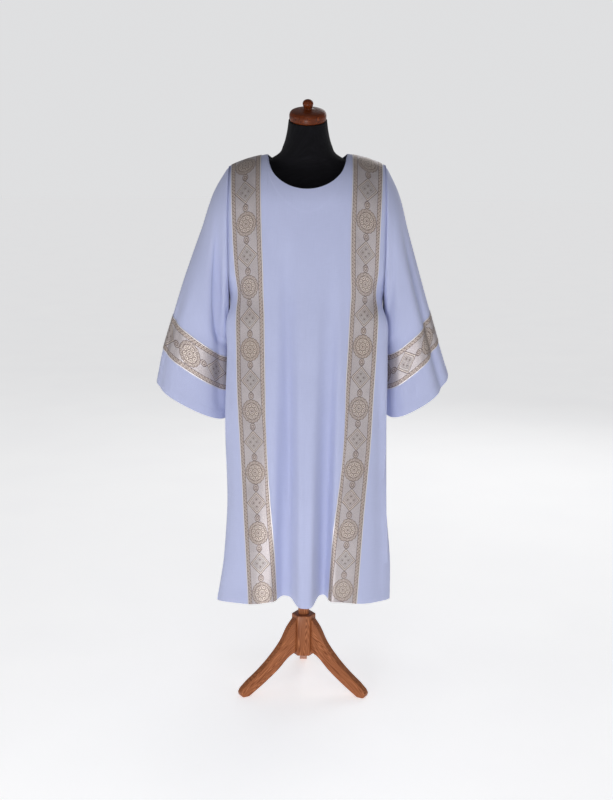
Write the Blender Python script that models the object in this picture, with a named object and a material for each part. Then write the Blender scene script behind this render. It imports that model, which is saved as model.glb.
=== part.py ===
"""Dalmatic worn by a limbless dress form that stands on a wooden tripod.

The front faces -Y, +X is the viewer's right and +Z is up, all in metres. "left" and "right" are as seen
from the front. Every shape is laid out around the pole's axis, and the whole object is then moved so
that its origin lies on the floor under the middle of its box.

The garment is a front and a back panel, two set-in sleeves, two galloons (clavi) that run from the front
hem over the shoulders to the back hem, a galloon round each sleeve, and a facing behind the neckline.
Each panel is a grid of rows and columns of points. Its wall is that grid and the same grid moved in.
"""

import math

import bmesh
import bpy
import numpy as np

LEFT, RIGHT = -1, 1
FRONT, BACK = -1, 1

# Walls and seams
CLOTH = 0.0018
GALLOON = 0.0012
FACING = 0.0010
SEAM_GAP = 0.0003

# Body of the garment
HEM_HEIGHT = 0.308
HEM_LIFT = 0.28  # share of a fold's rise that the hem drops by, so troughs hang higher than crests
HEM_DROP = {LEFT: 0.018, RIGHT: 0.006}  # how much lower the hem hangs at each side
HEM_DROP_START = 0.10  # distance from the middle at which the hem starts to fall away
HEM_DROP_SHARE = 0.6  # share of the panel's height over which the drop fades out
UNDERARM_HEIGHT = 1.140
ARMHOLE_X = 0.212
NECK_SIDE_X = 0.107
NECK_SIDE_HEIGHT = 1.522
NECK_DROP = {FRONT: 0.090, BACK: 0.022}
SHOULDER_SLOPE = 0.12
SHOULDER_FALL = 1.7
SHOULDER_TILT = 0.012  # the garment sits a little higher on its right side
RIDGE_FALL = 0.130  # height over which the cloth rounds the shoulder
SQUARENESS = 2.4  # exponent of the body's oval section
ROLL_TURN = math.radians(60)  # where round the section the fold at each front side sits
ROLL_WIDTH = math.radians(15)
FACING_DEPTH = 0.062

# Oval of the body at each height: the half width, the depths and how far the two side folds stand out
BODY = np.array(
    [
        # height, half width, front, back, left roll, right roll
        (0.280, 0.208, 0.196, 0.186, 0.058, 0.054),
        (0.400, 0.200, 0.188, 0.176, 0.047, 0.061),
        (0.550, 0.195, 0.180, 0.163, 0.040, 0.054),
        (0.800, 0.196, 0.163, 0.140, 0.045, 0.048),
        (1.000, 0.203, 0.149, 0.124, 0.032, 0.040),
        (1.080, 0.2090, 0.144, 0.119, 0.026, 0.031),
        (1.140, 0.212, 0.140, 0.116, 0.000, 0.000),
        (1.220, 0.238, 0.135, 0.113, 0.000, 0.000),
        (1.320, 0.258, 0.129, 0.109, 0.000, 0.000),
        (1.430, 0.270, 0.120, 0.106, 0.000, 0.000),
        (1.530, 0.270, 0.116, 0.108, 0.000, 0.000),
    ]
)

# Folds that fall down the panels: where each line starts and where it meets the hem. A negative rise is
# a trough. A flatness of 2 rounds a fold like a bell, and 4 gives it a flat top.
FOLDS = {
    FRONT: np.array(
        [
            # top x, top height, hem x, half width at top, at hem, rise at hem, flatness
            (-0.053, 1.32, -0.048, 0.024, 0.026, -0.038, 3),
            (0.066, 1.28, 0.048, 0.024, 0.020, -0.044, 3),
            (-0.092, 0.90, -0.082, 0.040, 0.036, -0.010, 2),
            (0.086, 0.90, 0.082, 0.040, 0.036, -0.010, 2),
            (0.003, 1.25, 0.004, 0.044, 0.033, 0.016, 4),
            (-0.150, 1.10, -0.140, 0.060, 0.050, 0.010, 2),
            (0.150, 1.05, 0.170, 0.050, 0.040, 0.014, 2),
        ]
    ),
    BACK: np.array(
        [
            (-0.118, 1.22, -0.112, 0.032, 0.026, -0.034, 2),
            (-0.060, 1.30, -0.050, 0.036, 0.034, 0.014, 4),
            (0.004, 1.36, 0.012, 0.032, 0.025, -0.036, 2),
            (0.066, 1.26, 0.074, 0.036, 0.034, 0.016, 4),
            (0.126, 1.18, 0.130, 0.030, 0.024, -0.030, 2),
        ]
    ),
}

# Middle line of each clavus, as the distance from the pole's axis
CLAVUS_WIDTH = 0.086
CLAVUS_LINES = np.array(
    [
        # height, left, right
        (0.300, 0.1125, 0.1035),
        (0.570, 0.1295, 0.1230),
        (0.750, 0.1390, 0.1390),
        (0.870, 0.1460, 0.1450),
        (1.140, 0.1525, 0.1565),
        (1.300, 0.1600, 0.1570),
        (1.520, 0.1660, 0.1625),
    ]
)

# Sleeve sections from the armhole (0) to the cuff (1). The outer ridge runs over the arm and the inner
# ridge under it. "sag" is how far the front of a section hangs below a straight line between them.
SLEEVES = {
    LEFT: np.array(
        [
            # station, outer x, outer height, inner x, inner height, inner y, front, back, sag
            (0.00, 0.212, 1.486, 0.2120, 1.140, 0.000, 0.080, 0.070, 0.000),
            (0.10, 0.247, 1.430, 0.2126, 1.105, 0.006, 0.082, 0.072, 0.000),
            (0.30, 0.290, 1.315, 0.2130, 1.055, 0.012, 0.080, 0.070, 0.004),
            (0.50, 0.335, 1.190, 0.2138, 1.015, 0.016, 0.074, 0.066, 0.008),
            (0.70, 0.3690, 1.082, 0.2150, 0.967, 0.020, 0.068, 0.062, 0.010),
            (0.83, 0.3970, 0.990, 0.2150, 0.871, 0.020, 0.065, 0.060, 0.012),
            (1.00, 0.416, 0.897, 0.2220, 0.796, 0.018, 0.064, 0.058, 0.020),
        ]
    ),
    RIGHT: np.array(
        [
            (0.00, 0.212, 1.490, 0.2120, 1.140, 0.000, 0.080, 0.070, 0.000),
            (0.10, 0.2435, 1.430, 0.2126, 1.105, 0.006, 0.082, 0.072, 0.002),
            (0.30, 0.278, 1.315, 0.2132, 1.055, 0.012, 0.080, 0.074, 0.008),
            (0.50, 0.313, 1.195, 0.2142, 1.020, 0.016, 0.076, 0.074, 0.018),
            (0.70, 0.3420, 1.098, 0.2170, 0.985, 0.020, 0.070, 0.072, 0.026),
            (0.83, 0.3670, 1.016, 0.2180, 0.886, 0.020, 0.068, 0.070, 0.028),
            (1.00, 0.397, 0.922, 0.2250, 0.816, 0.018, 0.066, 0.068, 0.038),
        ]
    ),
}
SLEEVE_STATIONS = [0, 0.05, 0.13, 0.24, 0.36, 0.48, 0.60, 0.70, 0.765, 0.83, 0.91, 1]
SLEEVE_GALLOON_ROWS = (7, 9)  # the rows at stations 0.70 and 0.83, 85 to 95 mm apart
SLEEVE_AROUND = 28
SLEEVE_SQUARENESS = 2.2
ARMHOLE_BLEND = 0.30  # by this station the armhole's outline has become the sleeve's oval

# Folds on the front of each sleeve, beside the armhole: distance from the axis, half width and rise
SLEEVE_FOLDS = {
    LEFT: np.array([(0.238, 0.011, -0.010)]),
    RIGHT: np.array([(0.230, 0.009, -0.007)]),
}
SLEEVE_FOLD_TOP, SLEEVE_FOLD_END = 1.42, 1.03

# Grid of the body panels
COLUMNS = {"side": 5, "clavus": 2, "shoulder": 1, "centre": 14}
ROWS_BELOW, ROWS_ABOVE = 9, 10
ROW_CROWDING = 1.7  # rows above the underarm crowd towards the shoulder
ROW_SAMPLES = 721

# Dress form. Each ring of the torso: height, half width, front and back depth, and its tilt in degrees
TORSO = np.array(
    [
        (0.800, 0.160, 0.108, 0.104, 0),
        (0.815, 0.167, 0.115, 0.110, 0),
        (0.880, 0.171, 0.120, 0.112, 0),
        (0.960, 0.165, 0.116, 0.104, 0),
        (1.080, 0.146, 0.104, 0.088, 0),
        (1.180, 0.154, 0.106, 0.088, 0),
        (1.280, 0.170, 0.110, 0.092, 0),
        (1.370, 0.184, 0.100, 0.088, 0),
        (1.430, 0.190, 0.080, 0.074, 0),
        (1.465, 0.186, 0.060, 0.058, 0),
        (1.484, 0.168, 0.046, 0.042, 0),
        (1.497, 0.136, 0.047, 0.040, 2),
        (1.508, 0.104, 0.054, 0.041, 5),
        (1.522, 0.079, 0.060, 0.045, 9),
        (1.545, 0.066, 0.059, 0.047, 13),
        (1.577, 0.057, 0.055, 0.047, 16),
        (1.611, 0.052, 0.052, 0.048, 18),
    ]
)
TORSO_AROUND = 36
TORSO_SQUARENESS = 2.15

# Turned cap and finial, as radius and height above its seat, which tilts with the top of the neck
CAP_PROFILE = [
    (0.0000, 0.000),
    (0.0465, 0.000),
    (0.0487, 0.002),
    (0.0500, 0.008),
    (0.0502, 0.014),
    (0.0492, 0.0200),
    (0.0460, 0.0250),
    (0.0390, 0.0280),
    (0.0270, 0.0300),
    (0.0170, 0.0310),
    (0.0120, 0.0325),
    (0.0105, 0.0350),
    (0.0120, 0.0385),
    (0.0140, 0.0430),
    (0.0145, 0.0475),
    (0.0122, 0.0528),
    (0.0068, 0.0568),
    (0.0000, 0.0580),
]
CAP_STEPS = 40

# Stand
POLE_RADIUS = 0.016
HUB_FLAT = 0.030  # from the axis to each flat of the six-sided hub
HUB_BOTTOM, HUB_TOP = 0.095, 0.215
LEG_THICKNESS = 0.022
LEG_ANGLES = {"front_left": 210, "front_right": 330, "back": 90}
# Outline of a leg as distance from the axis and height: underside first, from the foot inwards
LEG_OUTLINE = [
    (0.207, 0.005),
    (0.201, 0.000),
    (0.183, 0.000),
    (0.168, 0.009),
    (0.130, 0.033),
    (0.087, 0.064),
    (0.052, 0.095),
    (0.030, 0.106),
    (0.030, 0.206),
    (0.048, 0.186),
    (0.075, 0.140),
    (0.110, 0.100),
    (0.150, 0.065),
    (0.185, 0.040),
    (0.203, 0.024),
    (0.209, 0.014),
]


# ---------------------------------------------------------------- tables and grids


def read_off(stations, values, at):
    """A smooth curve through a table's values, read at the given stations."""
    slopes = np.gradient(values, stations)
    at = np.clip(at, stations[0], stations[-1])
    low = np.clip(np.searchsorted(stations, at, side="right") - 1, 0, len(stations) - 2)
    step = stations[low + 1] - stations[low]
    t = (at - stations[low]) / step
    start = (2 * t**3 - 3 * t**2 + 1) * values[low] + (t**3 - 2 * t**2 + t) * step * slopes[low]
    end = (3 * t**2 - 2 * t**3) * values[low + 1] + (t**3 - t**2) * step * slopes[low + 1]
    return start + end


def ease(t):
    t = np.clip(t, 0, 1)
    return t * t * (3 - 2 * t)


def unit(vectors):
    return vectors / np.linalg.norm(vectors, axis=-1, keepdims=True)


def grid_normals(points, wrap=False):
    """Normals of a grid of points, on the side that rows crossed with columns point to."""
    if wrap:
        along = np.roll(points, -1, axis=1) - np.roll(points, 1, axis=1)
    else:
        along = np.gradient(points, axis=1)
    up = np.gradient(points, axis=0)
    return unit(np.cross(along, up))


def make_object(name, bm, material):
    bmesh.ops.recalc_face_normals(bm, faces=bm.faces)
    mesh = bpy.data.meshes.new(name)
    bm.to_mesh(mesh)
    bm.free()
    mesh.shade_smooth()
    mesh.set_sharp_from_angle(angle=math.radians(35))
    mesh.materials.append(material)
    thing = bpy.data.objects.new(name, mesh)
    bpy.context.scene.collection.objects.link(thing)
    return thing


def wall(name, outside, inside, material, wrap=False, turned=False):
    """One closed wall between two matching grids. wrap joins the last column to the first, and turned
    marks the cells that are split along their other diagonal."""
    rows, columns = outside.shape[:2]
    bm = bmesh.new()
    faces = [[[bm.verts.new(p) for p in row] for row in grid] for grid in (outside, inside)]
    spans = columns if wrap else columns - 1
    turned = np.broadcast_to(turned, (rows - 1, spans))
    for side, verts in enumerate(faces):
        for i in range(rows - 1):
            for j in range(spans):
                k = (j + 1) % columns
                a, b, c, d = verts[i][j], verts[i][k], verts[i + 1][k], verts[i + 1][j]
                for corners in ((a, b, d), (b, c, d)) if turned[i, j] else ((a, b, c), (a, c, d)):
                    bm.faces.new(corners if side == 0 else corners[::-1])
    edges = [[(i, j) for j in range(spans + 1)] for i in (0, rows - 1)]
    if not wrap:
        edges += [[(i, j) for i in range(rows)] for j in (0, columns - 1)]
    for edge in edges:
        for (i, j), (k, m) in zip(edge, edge[1:]):
            j, m = j % columns, m % columns
            a, b, c, d = faces[0][i][j], faces[0][k][m], faces[1][k][m], faces[1][i][j]
            bm.faces.new((a, b, c))
            bm.faces.new((a, c, d))
    return make_object(name, bm, material)


def loft(name, rings, material):
    """A closed solid through rings of points, capped flat at both ends."""
    bm = bmesh.new()
    loops = [[bm.verts.new(p) for p in ring] for ring in rings]
    for low, high in zip(loops, loops[1:]):
        for j, (a, b) in enumerate(zip(low, high)):
            k = (j + 1) % len(low)
            bm.faces.new((a, low[k], high[k], b))
    bm.faces.new(loops[0][::-1])
    bm.faces.new(loops[-1])
    return make_object(name, bm, material)


def make_material(name, colour, roughness, metallic=0.0):
    material = bpy.data.materials.new(name)
    material.use_nodes = True
    shader = material.node_tree.nodes["Principled BSDF"]
    shader.inputs["Base Color"].default_value = (*colour, 1.0)
    shader.inputs["Roughness"].default_value = roughness
    shader.inputs["Metallic"].default_value = metallic
    return material


# ---------------------------------------------------------------- body of the garment


def shoulder_height(x):
    reach = np.clip(np.abs(x) - NECK_SIDE_X, 0, ARMHOLE_X - NECK_SIDE_X)
    tilt = SHOULDER_TILT * np.clip(x, -ARMHOLE_X, ARMHOLE_X)
    return NECK_SIDE_HEIGHT - SHOULDER_SLOPE * reach - SHOULDER_FALL * reach**2 + tilt


def top_edge(x, face):
    """The shoulder line, and the neckline's half ellipse between the neck sides."""
    within = np.sqrt(np.clip(1 - (x / NECK_SIDE_X) ** 2, 0, None))
    return shoulder_height(x) - NECK_DROP[face] * within


def fold_rise(x, z, face):
    """How far the folds carry the cloth out from the panel's plain oval."""
    rise = np.zeros_like(x)
    for top_x, top_z, hem_x, top_width, hem_width, hem_rise, flatness in FOLDS[face]:
        down = np.clip((top_z - z) / (top_z - HEM_HEIGHT), 0, 1.05)
        line = top_x + (hem_x - top_x) * down
        width = top_width + (hem_width - top_width) * down
        rise += hem_rise * ease(down) ** 0.8 * np.exp(-(np.abs((x - line) / width) ** flatness))
    return rise


def shoulder_rounding(x, z):
    """0 on the shoulder line, rising to 1 where the cloth hangs free of the shoulder."""
    drop = np.clip((shoulder_height(x) - z) / RIDGE_FALL, 0, 1)
    return np.sqrt(np.clip(1 - (1 - drop) ** 2, 0, None))


def body_column(face):
    return 2 if face == FRONT else 3


def row_height(x, share, face):
    """Height of the row that is this share of the way from the hem to the top edge."""
    hem = HEM_HEIGHT - HEM_LIFT * fold_rise(x, np.full_like(x, HEM_HEIGHT), face)
    toward_side = ease((np.abs(x) - HEM_DROP_START) / (ARMHOLE_X - HEM_DROP_START))
    drop = np.where(x < 0, HEM_DROP[LEFT], HEM_DROP[RIGHT])
    hem = hem - drop * toward_side * (1 - ease(share / HEM_DROP_SHARE))
    return hem + (top_edge(x, face) - hem) * share


def body_row(share, face):
    """A row of a panel as a dense line of points from its left edge to its right one."""
    turn = np.linspace(-math.pi / 2, math.pi / 2, ROW_SAMPLES)
    heights = BODY[:, 0]
    across = np.sign(turn) * np.abs(np.sin(turn)) ** (2 / SQUARENESS)
    x = BODY[-1, 1] * across
    for _ in range(8):
        z = row_height(x, share, face)
        x = read_off(heights, BODY[:, 1], z) * across
    if face == FRONT:
        roll = np.where(turn < 0, read_off(heights, BODY[:, 4], z), read_off(heights, BODY[:, 5], z))
        x = x + np.sign(turn) * roll * np.exp(-(((np.abs(turn) - ROLL_TURN) / ROLL_WIDTH) ** 2))
    depth = read_off(heights, BODY[:, body_column(face)], z) * np.abs(np.cos(turn)) ** (2 / SQUARENESS)
    out = depth * shoulder_rounding(x, z) + fold_rise(x, z, face) * np.cos(turn) ** 0.5
    y = face * (np.clip(out, 0, None) + SEAM_GAP / 2)
    row = np.stack([x, y, z], axis=1)
    edge = ARMHOLE_X - SEAM_GAP / 2
    side_height = row_height(np.array([ARMHOLE_X]), share, face)[0]
    if side_height < UNDERARM_HEIGHT + SEAM_GAP:
        if side_height > UNDERARM_HEIGHT - SEAM_GAP:
            row[:, 0] = np.clip(row[:, 0], -edge, edge)
        return row
    middle = ROW_SAMPLES // 2
    last = middle + np.argmax(x[middle:] > edge) if (x[middle:] > edge).any() else ROW_SAMPLES - 1
    first = middle - np.argmax(x[middle::-1] < -edge) if (x[:middle] < -edge).any() else 0
    row = row[first : last + 1]
    for end, inner in ((0, 1), (-1, -2)):
        t = (edge - abs(row[inner, 0])) / (abs(row[end, 0]) - abs(row[inner, 0]))
        row[end] = row[inner] + (row[end] - row[inner]) * t
        row[end, 0] = math.copysign(edge, row[end, 0])
    return row


def clavus_arc(row, arc, side):
    """Where along a row the middle of a clavus lies."""
    middle = len(row) // 2
    half = slice(middle, None) if side == RIGHT else slice(middle, None, -1)
    x, z, at = np.abs(row[half, 0]), row[half, 2], arc[half]
    line = read_off(CLAVUS_LINES[:, 0], CLAVUS_LINES[:, 1 if side == LEFT else 2], z)
    return at[np.argmax(x >= line)]


def panel_grid(face):
    """The outside of a panel: rows from the hem up, columns from left to right."""
    span = shoulder_height(np.array([ARMHOLE_X]))[0] - HEM_HEIGHT
    underarm = (UNDERARM_HEIGHT - HEM_HEIGHT) / span
    below = np.linspace(0, underarm, ROWS_BELOW + 1)
    above = np.linspace(1, 0, ROWS_ABOVE + 1)[1:] ** ROW_CROWDING
    shares = np.concatenate([below, 1 - above * (1 - underarm)])
    cells = COLUMNS
    centre_cells = cells["centre"] + 2 * cells["shoulder"]
    grid = []
    for share in shares:
        row = body_row(share, face)
        arc = np.concatenate([[0], np.cumsum(np.linalg.norm(np.diff(row, axis=0), axis=1))])
        left, right = clavus_arc(row, arc, LEFT), clavus_arc(row, arc, RIGHT)
        half = CLAVUS_WIDTH / 2
        inner_left, inner_right = left + half, right - half
        step = (inner_right - inner_left) / centre_cells
        near_top = ease((share - 0.75) / 0.25)
        middle = len(row) // 2
        neck = []
        for side, inner in ((LEFT, inner_left), (RIGHT, inner_right)):
            reach = slice(middle, None) if side == RIGHT else slice(middle, None, -1)
            exact = arc[reach][np.argmax(np.abs(row[reach, 0]) >= NECK_SIDE_X)]
            even = inner - side * step * cells["shoulder"]
            neck.append(even + (exact - even) * near_top)
        stops = [0, left - half, inner_left, neck[0], neck[1], inner_right, right + half, arc[-1]]
        order = ["side", "clavus", "shoulder", "centre", "shoulder", "clavus", "side"]
        at = [0.0]
        for low, high, part in zip(stops, stops[1:], order):
            at.extend(np.linspace(low, high, cells[part] + 1)[1:])
        grid.append([[np.interp(s, arc, row[:, axis]) for axis in range(3)] for s in at])
    return np.array(grid)


def panel_normals(grid, face):
    """Outward normals, held square to the seam on every edge so that panels meet face to face."""
    normals = -face * grid_normals(grid)
    for column, side in ((0, LEFT), (-1, RIGHT)):
        edge = grid[:, column]
        above = edge[:, 2] > UNDERARM_HEIGHT + 2 * SEAM_GAP
        along = np.gradient(edge, axis=0)
        normals[~above, column] = (side, 0, 0)
        normals[above, column] = np.stack(
            [np.zeros(above.sum()), face * along[above, 2], -face * along[above, 1]], axis=1
        )
    on_shoulder = np.abs(grid[-1, :, 0]) >= NECK_SIDE_X - 0.0015
    normals[-1, on_shoulder, 1] = 0
    normals[0, :, 2] = 0
    return unit(normals)


def turned_cells(grid):
    """A panel's right half is split along the other diagonal, as the mirror image of its left half."""
    return np.arange(grid.shape[1] - 1) >= grid.shape[1] // 2


def clavus_columns(side):
    """First and last column of a clavus on a panel."""
    first = COLUMNS["side"]
    if side == RIGHT:
        first += COLUMNS["clavus"] + 2 * COLUMNS["shoulder"] + COLUMNS["centre"]
    return slice(first, first + COLUMNS["clavus"] + 1)


def make_clavus(name, side, panels, material):
    """One strip on the panels' own points: up the front, over the shoulder and down the back."""
    columns = clavus_columns(side)
    front, front_normals = (part[:, columns] for part in panels[FRONT])
    back, back_normals = (part[::-1, columns] for part in panels[BACK])
    ridge = (front[-1:] + back[:1]) / 2
    ridge_normals = unit(front_normals[-1:] + back_normals[:1])
    points = np.concatenate([front[:-1], ridge, back[1:]])
    normals = np.concatenate([front_normals[:-1], ridge_normals, back_normals[1:]])
    inside = points + normals * SEAM_GAP
    outside = inside + normals * GALLOON
    # The back's rows run the other way here, and so do their cells' diagonals.
    on_back = np.arange(len(points) - 1) >= len(front) - 1
    return wall(name, outside, inside, material, turned=on_back[:, None] ^ (side == RIGHT))


def make_facing(panels, material):
    """The facing follows the neckline on the inside of the front, down to FACING_DEPTH below it."""
    grid, normals = panels[FRONT]
    first, last = clavus_columns(LEFT).stop - 1, clavus_columns(RIGHT).start
    middle = grid.shape[1] // 2
    drop = grid[-1, middle, 2] - grid[:, middle, 2]
    lowest = int(np.argmin(np.abs(drop - FACING_DEPTH)))
    columns = slice(first + 3, last - 2)
    part = (slice(lowest, None), columns)
    outside = grid[part] - normals[part] * (CLOTH + SEAM_GAP)
    inside = outside - normals[part] * FACING
    cells = turned_cells(grid)[columns.start : columns.stop - 1]
    return wall("neck_facing", outside, inside, material, turned=cells)


# ---------------------------------------------------------------- sleeves


def armhole_depth(z, face):
    """How far from the shoulder's plane the armhole's edge lies at a height."""
    half_width = read_off(BODY[:, 0], BODY[:, 1], z)
    depth = read_off(BODY[:, 0], BODY[:, body_column(face)], z)
    oval = np.clip(1 - (ARMHOLE_X / half_width) ** SQUARENESS, 0, None) ** (1 / SQUARENESS)
    return depth * oval * shoulder_rounding(np.full_like(z, ARMHOLE_X), z)


def sleeve_fold(x, z, front, side):
    """Troughs and crests that run down the front of the sleeve beside the armhole."""
    fade = ease((SLEEVE_FOLD_TOP - z) / 0.10) * ease((z - SLEEVE_FOLD_END) / 0.10) * front
    rise = np.zeros_like(x)
    for line, width, height in SLEEVE_FOLDS[side]:
        rise += height * np.exp(-(((x - line) / width) ** 2))
    return rise * fade


def sleeve_grid(side):
    """The outside of a sleeve: rows from the armhole to the cuff, columns round it from the ridge."""
    table = SLEEVES[side]
    turn = np.linspace(0, 2 * math.pi, SLEEVE_AROUND, endpoint=False)
    power = 2 / SLEEVE_SQUARENESS
    along = np.sign(np.cos(turn)) * np.abs(np.cos(turn)) ** power
    across = np.sign(np.sin(turn)) * np.abs(np.sin(turn)) ** power
    front = np.clip(np.sin(turn), 0, 1)
    ridge_height = shoulder_height(np.array([side * ARMHOLE_X]))[0]
    middle, half = (ridge_height + UNDERARM_HEIGHT) / 2, (ridge_height - UNDERARM_HEIGHT) / 2
    first_z = (table[0, 2] + table[0, 4]) / 2 + (table[0, 2] - table[0, 4]) / 2 * along
    grid = []
    for station in SLEEVE_STATIONS:
        names = range(1, table.shape[1])
        values = [read_off(table[:, 0], table[:, k], station) for k in names]
        outer_x, outer_z, inner_x, inner_z, inner_y, front_depth, back_depth, sag = values
        x = (outer_x + inner_x) / 2 + (outer_x - inner_x) / 2 * along
        z = (outer_z + inner_z) / 2 + (outer_z - inner_z) / 2 * along
        z = z - sag * across * np.where(across > 0, 1.0, 0.4)
        y = inner_y * (1 - along) / 2 - np.where(across > 0, front_depth, back_depth) * across
        # At the armhole the section follows the body panels' own edge.
        armhole_z = middle + half * np.cos(turn)
        armhole_y = np.where(
            across > 0, -armhole_depth(armhole_z, FRONT), armhole_depth(armhole_z, BACK)
        )
        blend = ease(station / ARMHOLE_BLEND)
        z = z + (armhole_z - first_z) * (1 - blend)
        y = armhole_y + (y - armhole_y) * blend
        y = y - sleeve_fold(x, z, front, side) * blend**0.5
        start = ARMHOLE_X + SEAM_GAP / 2
        x = np.maximum(x, start) if station else np.full_like(x, start)
        grid.append(np.stack([side * x, y, z], axis=1))
    return np.array(grid)


def sleeve_normals(grid, side):
    normals = grid_normals(grid, wrap=True)
    centre = grid.mean(axis=1, keepdims=True)
    if ((grid - centre) * normals).sum() < 0:
        normals = -normals
    normals[0, :, 0] = 0
    return unit(normals)


def make_sleeve(side, label, cloth, galloon):
    grid = sleeve_grid(side)
    normals = sleeve_normals(grid, side)
    made = [wall(f"sleeve_{label}", grid, grid - normals * CLOTH, cloth, wrap=True)]
    first, last = SLEEVE_GALLOON_ROWS
    part = slice(first, last + 1)
    inside = grid[part] + normals[part] * SEAM_GAP
    outside = inside + normals[part] * GALLOON
    made.append(wall(f"sleeve_galloon_{label}", outside, inside, galloon, wrap=True))
    return made


# ---------------------------------------------------------------- dress form


def make_torso(material):
    turn = np.linspace(0, 2 * math.pi, TORSO_AROUND, endpoint=False)
    power = 2 / TORSO_SQUARENESS
    across = np.sign(np.cos(turn)) * np.abs(np.cos(turn)) ** power
    forward = np.sign(np.sin(turn)) * np.abs(np.sin(turn)) ** power
    rings = []
    for height, half_width, front, back, tilt in TORSO:
        y = np.where(forward < 0, front, back) * forward
        z = height + y * math.tan(math.radians(tilt))
        rings.append(np.stack([half_width * across, y, z], axis=1))
    return loft("form_torso", rings, material)


def make_cap(material):
    """The cap is turned about its own axis and then seated on the tilted top of the neck."""
    bm = bmesh.new()
    profile = [bm.verts.new((radius, 0, height)) for radius, height in CAP_PROFILE]
    edges = [bm.edges.new(pair) for pair in zip(profile, profile[1:])]
    bmesh.ops.spin(
        bm,
        geom=profile + edges,
        axis=(0, 0, 1),
        cent=(0, 0, 0),
        steps=CAP_STEPS,
        angle=2 * math.pi,
        use_duplicate=False,
    )
    bmesh.ops.remove_doubles(bm, verts=bm.verts, dist=1e-5)
    cap = make_object("form_neck_cap", bm, material)
    height, _, front, back, tilt = TORSO[-1]
    slope = math.radians(tilt)
    middle = (back - front) / 2
    cap.location = (
        0,
        middle - SEAM_GAP * math.sin(slope),
        height + middle * math.tan(slope) + SEAM_GAP * math.cos(slope),
    )
    cap.rotation_euler = (slope, 0, 0)
    return cap


def prism(name, outline, low, high, material):
    """A plain upright prism."""
    rings = [[(x, y, z) for x, y in outline] for z in (low, high)]
    return loft(name, rings, material)


def polygon(sides, radius, start=0.0):
    angles = [start + 2 * math.pi * k / sides for k in range(sides)]
    return [(radius * math.cos(a), radius * math.sin(a)) for a in angles]


def make_leg(label, degrees, material):
    """The outline stands upright along +X, and the leg is turned to its place about the pole."""
    half = LEG_THICKNESS / 2
    outline = [(max(r, HUB_FLAT + SEAM_GAP), z) for r, z in LEG_OUTLINE]
    rings = [[(r, y, z) for r, z in outline] for y in (-half, half)]
    leg = loft(f"form_leg_{label}", rings, material)
    leg.rotation_euler = (0, 0, math.radians(degrees))
    return leg


def make_stand(material):
    base = TORSO[0, 0]
    hub_corner = HUB_FLAT / math.cos(math.pi / 6)
    made = [
        prism("form_hub", polygon(6, hub_corner), HUB_BOTTOM, HUB_TOP, material),
        prism("form_pole", polygon(24, POLE_RADIUS), HUB_TOP + SEAM_GAP, base - SEAM_GAP, material),
    ]
    return made + [make_leg(label, angle, material) for label, angle in LEG_ANGLES.items()]


# ---------------------------------------------------------------- the whole object


def centre_on_origin(objects):
    """Parents everything to one empty, placed so that the origin is under the middle of the box."""
    bpy.context.view_layer.update()
    corners = np.array(
        [thing.matrix_world @ vertex.co for thing in objects for vertex in thing.data.vertices]
    )
    middle = (corners.min(axis=0) + corners.max(axis=0)) / 2
    holder = bpy.data.objects.new("dalmatic_on_form", None)
    bpy.context.scene.collection.objects.link(holder)
    for thing in objects:
        thing.parent = holder
    holder.location = (-middle[0], -middle[1], -corners[:, 2].min())
    bpy.context.view_layer.update()


def main():
    for thing in list(bpy.data.objects):
        bpy.data.objects.remove(thing, do_unlink=True)
    cloth = make_material("white_cloth", (0.62, 0.64, 0.80), 0.65)
    galloon = make_material("gold_galloon", (0.62, 0.52, 0.38), 0.45, 0.3)
    jersey = make_material("black_jersey", (0.012, 0.012, 0.015), 0.85)
    wood = make_material("varnished_wood", (0.20, 0.075, 0.030), 0.25)

    panels = {}
    for face in (FRONT, BACK):
        grid = panel_grid(face)
        panels[face] = (grid, panel_normals(grid, face))
    objects = []
    for name, face in (("front_panel", FRONT), ("back_panel", BACK)):
        grid, normals = panels[face]
        objects.append(wall(name, grid, grid - normals * CLOTH, cloth, turned=turned_cells(grid)))
    objects.append(make_facing(panels, cloth))
    for side, label in ((LEFT, "left"), (RIGHT, "right")):
        objects.append(make_clavus(f"clavus_{label}", side, panels, galloon))
        objects += make_sleeve(side, label, cloth, galloon)
    objects += [make_torso(jersey), make_cap(wood)]
    objects += make_stand(wood)
    centre_on_origin(objects)


main()
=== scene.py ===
"""Looks of a white dalmatic on a limbless dress form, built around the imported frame.

The front faces -Y, +X is the viewer's right and +Z is up, all in metres. "left" and "right" are as seen
from the front. Every shape is laid out around the pole's axis, on the same tables as the part's own
source, with finer grids, smaller creases and procedural cloth, galloon, jersey and wood.

The garment's panels are grids of rows and columns of points. Each is a thin closed shell, and its UVs are
its distances along the cloth in metres, which the weave and the galloon's figures are drawn in.
"""

import math

import bmesh
import bpy
import numpy as np
from mathutils import Matrix, Vector


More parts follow.
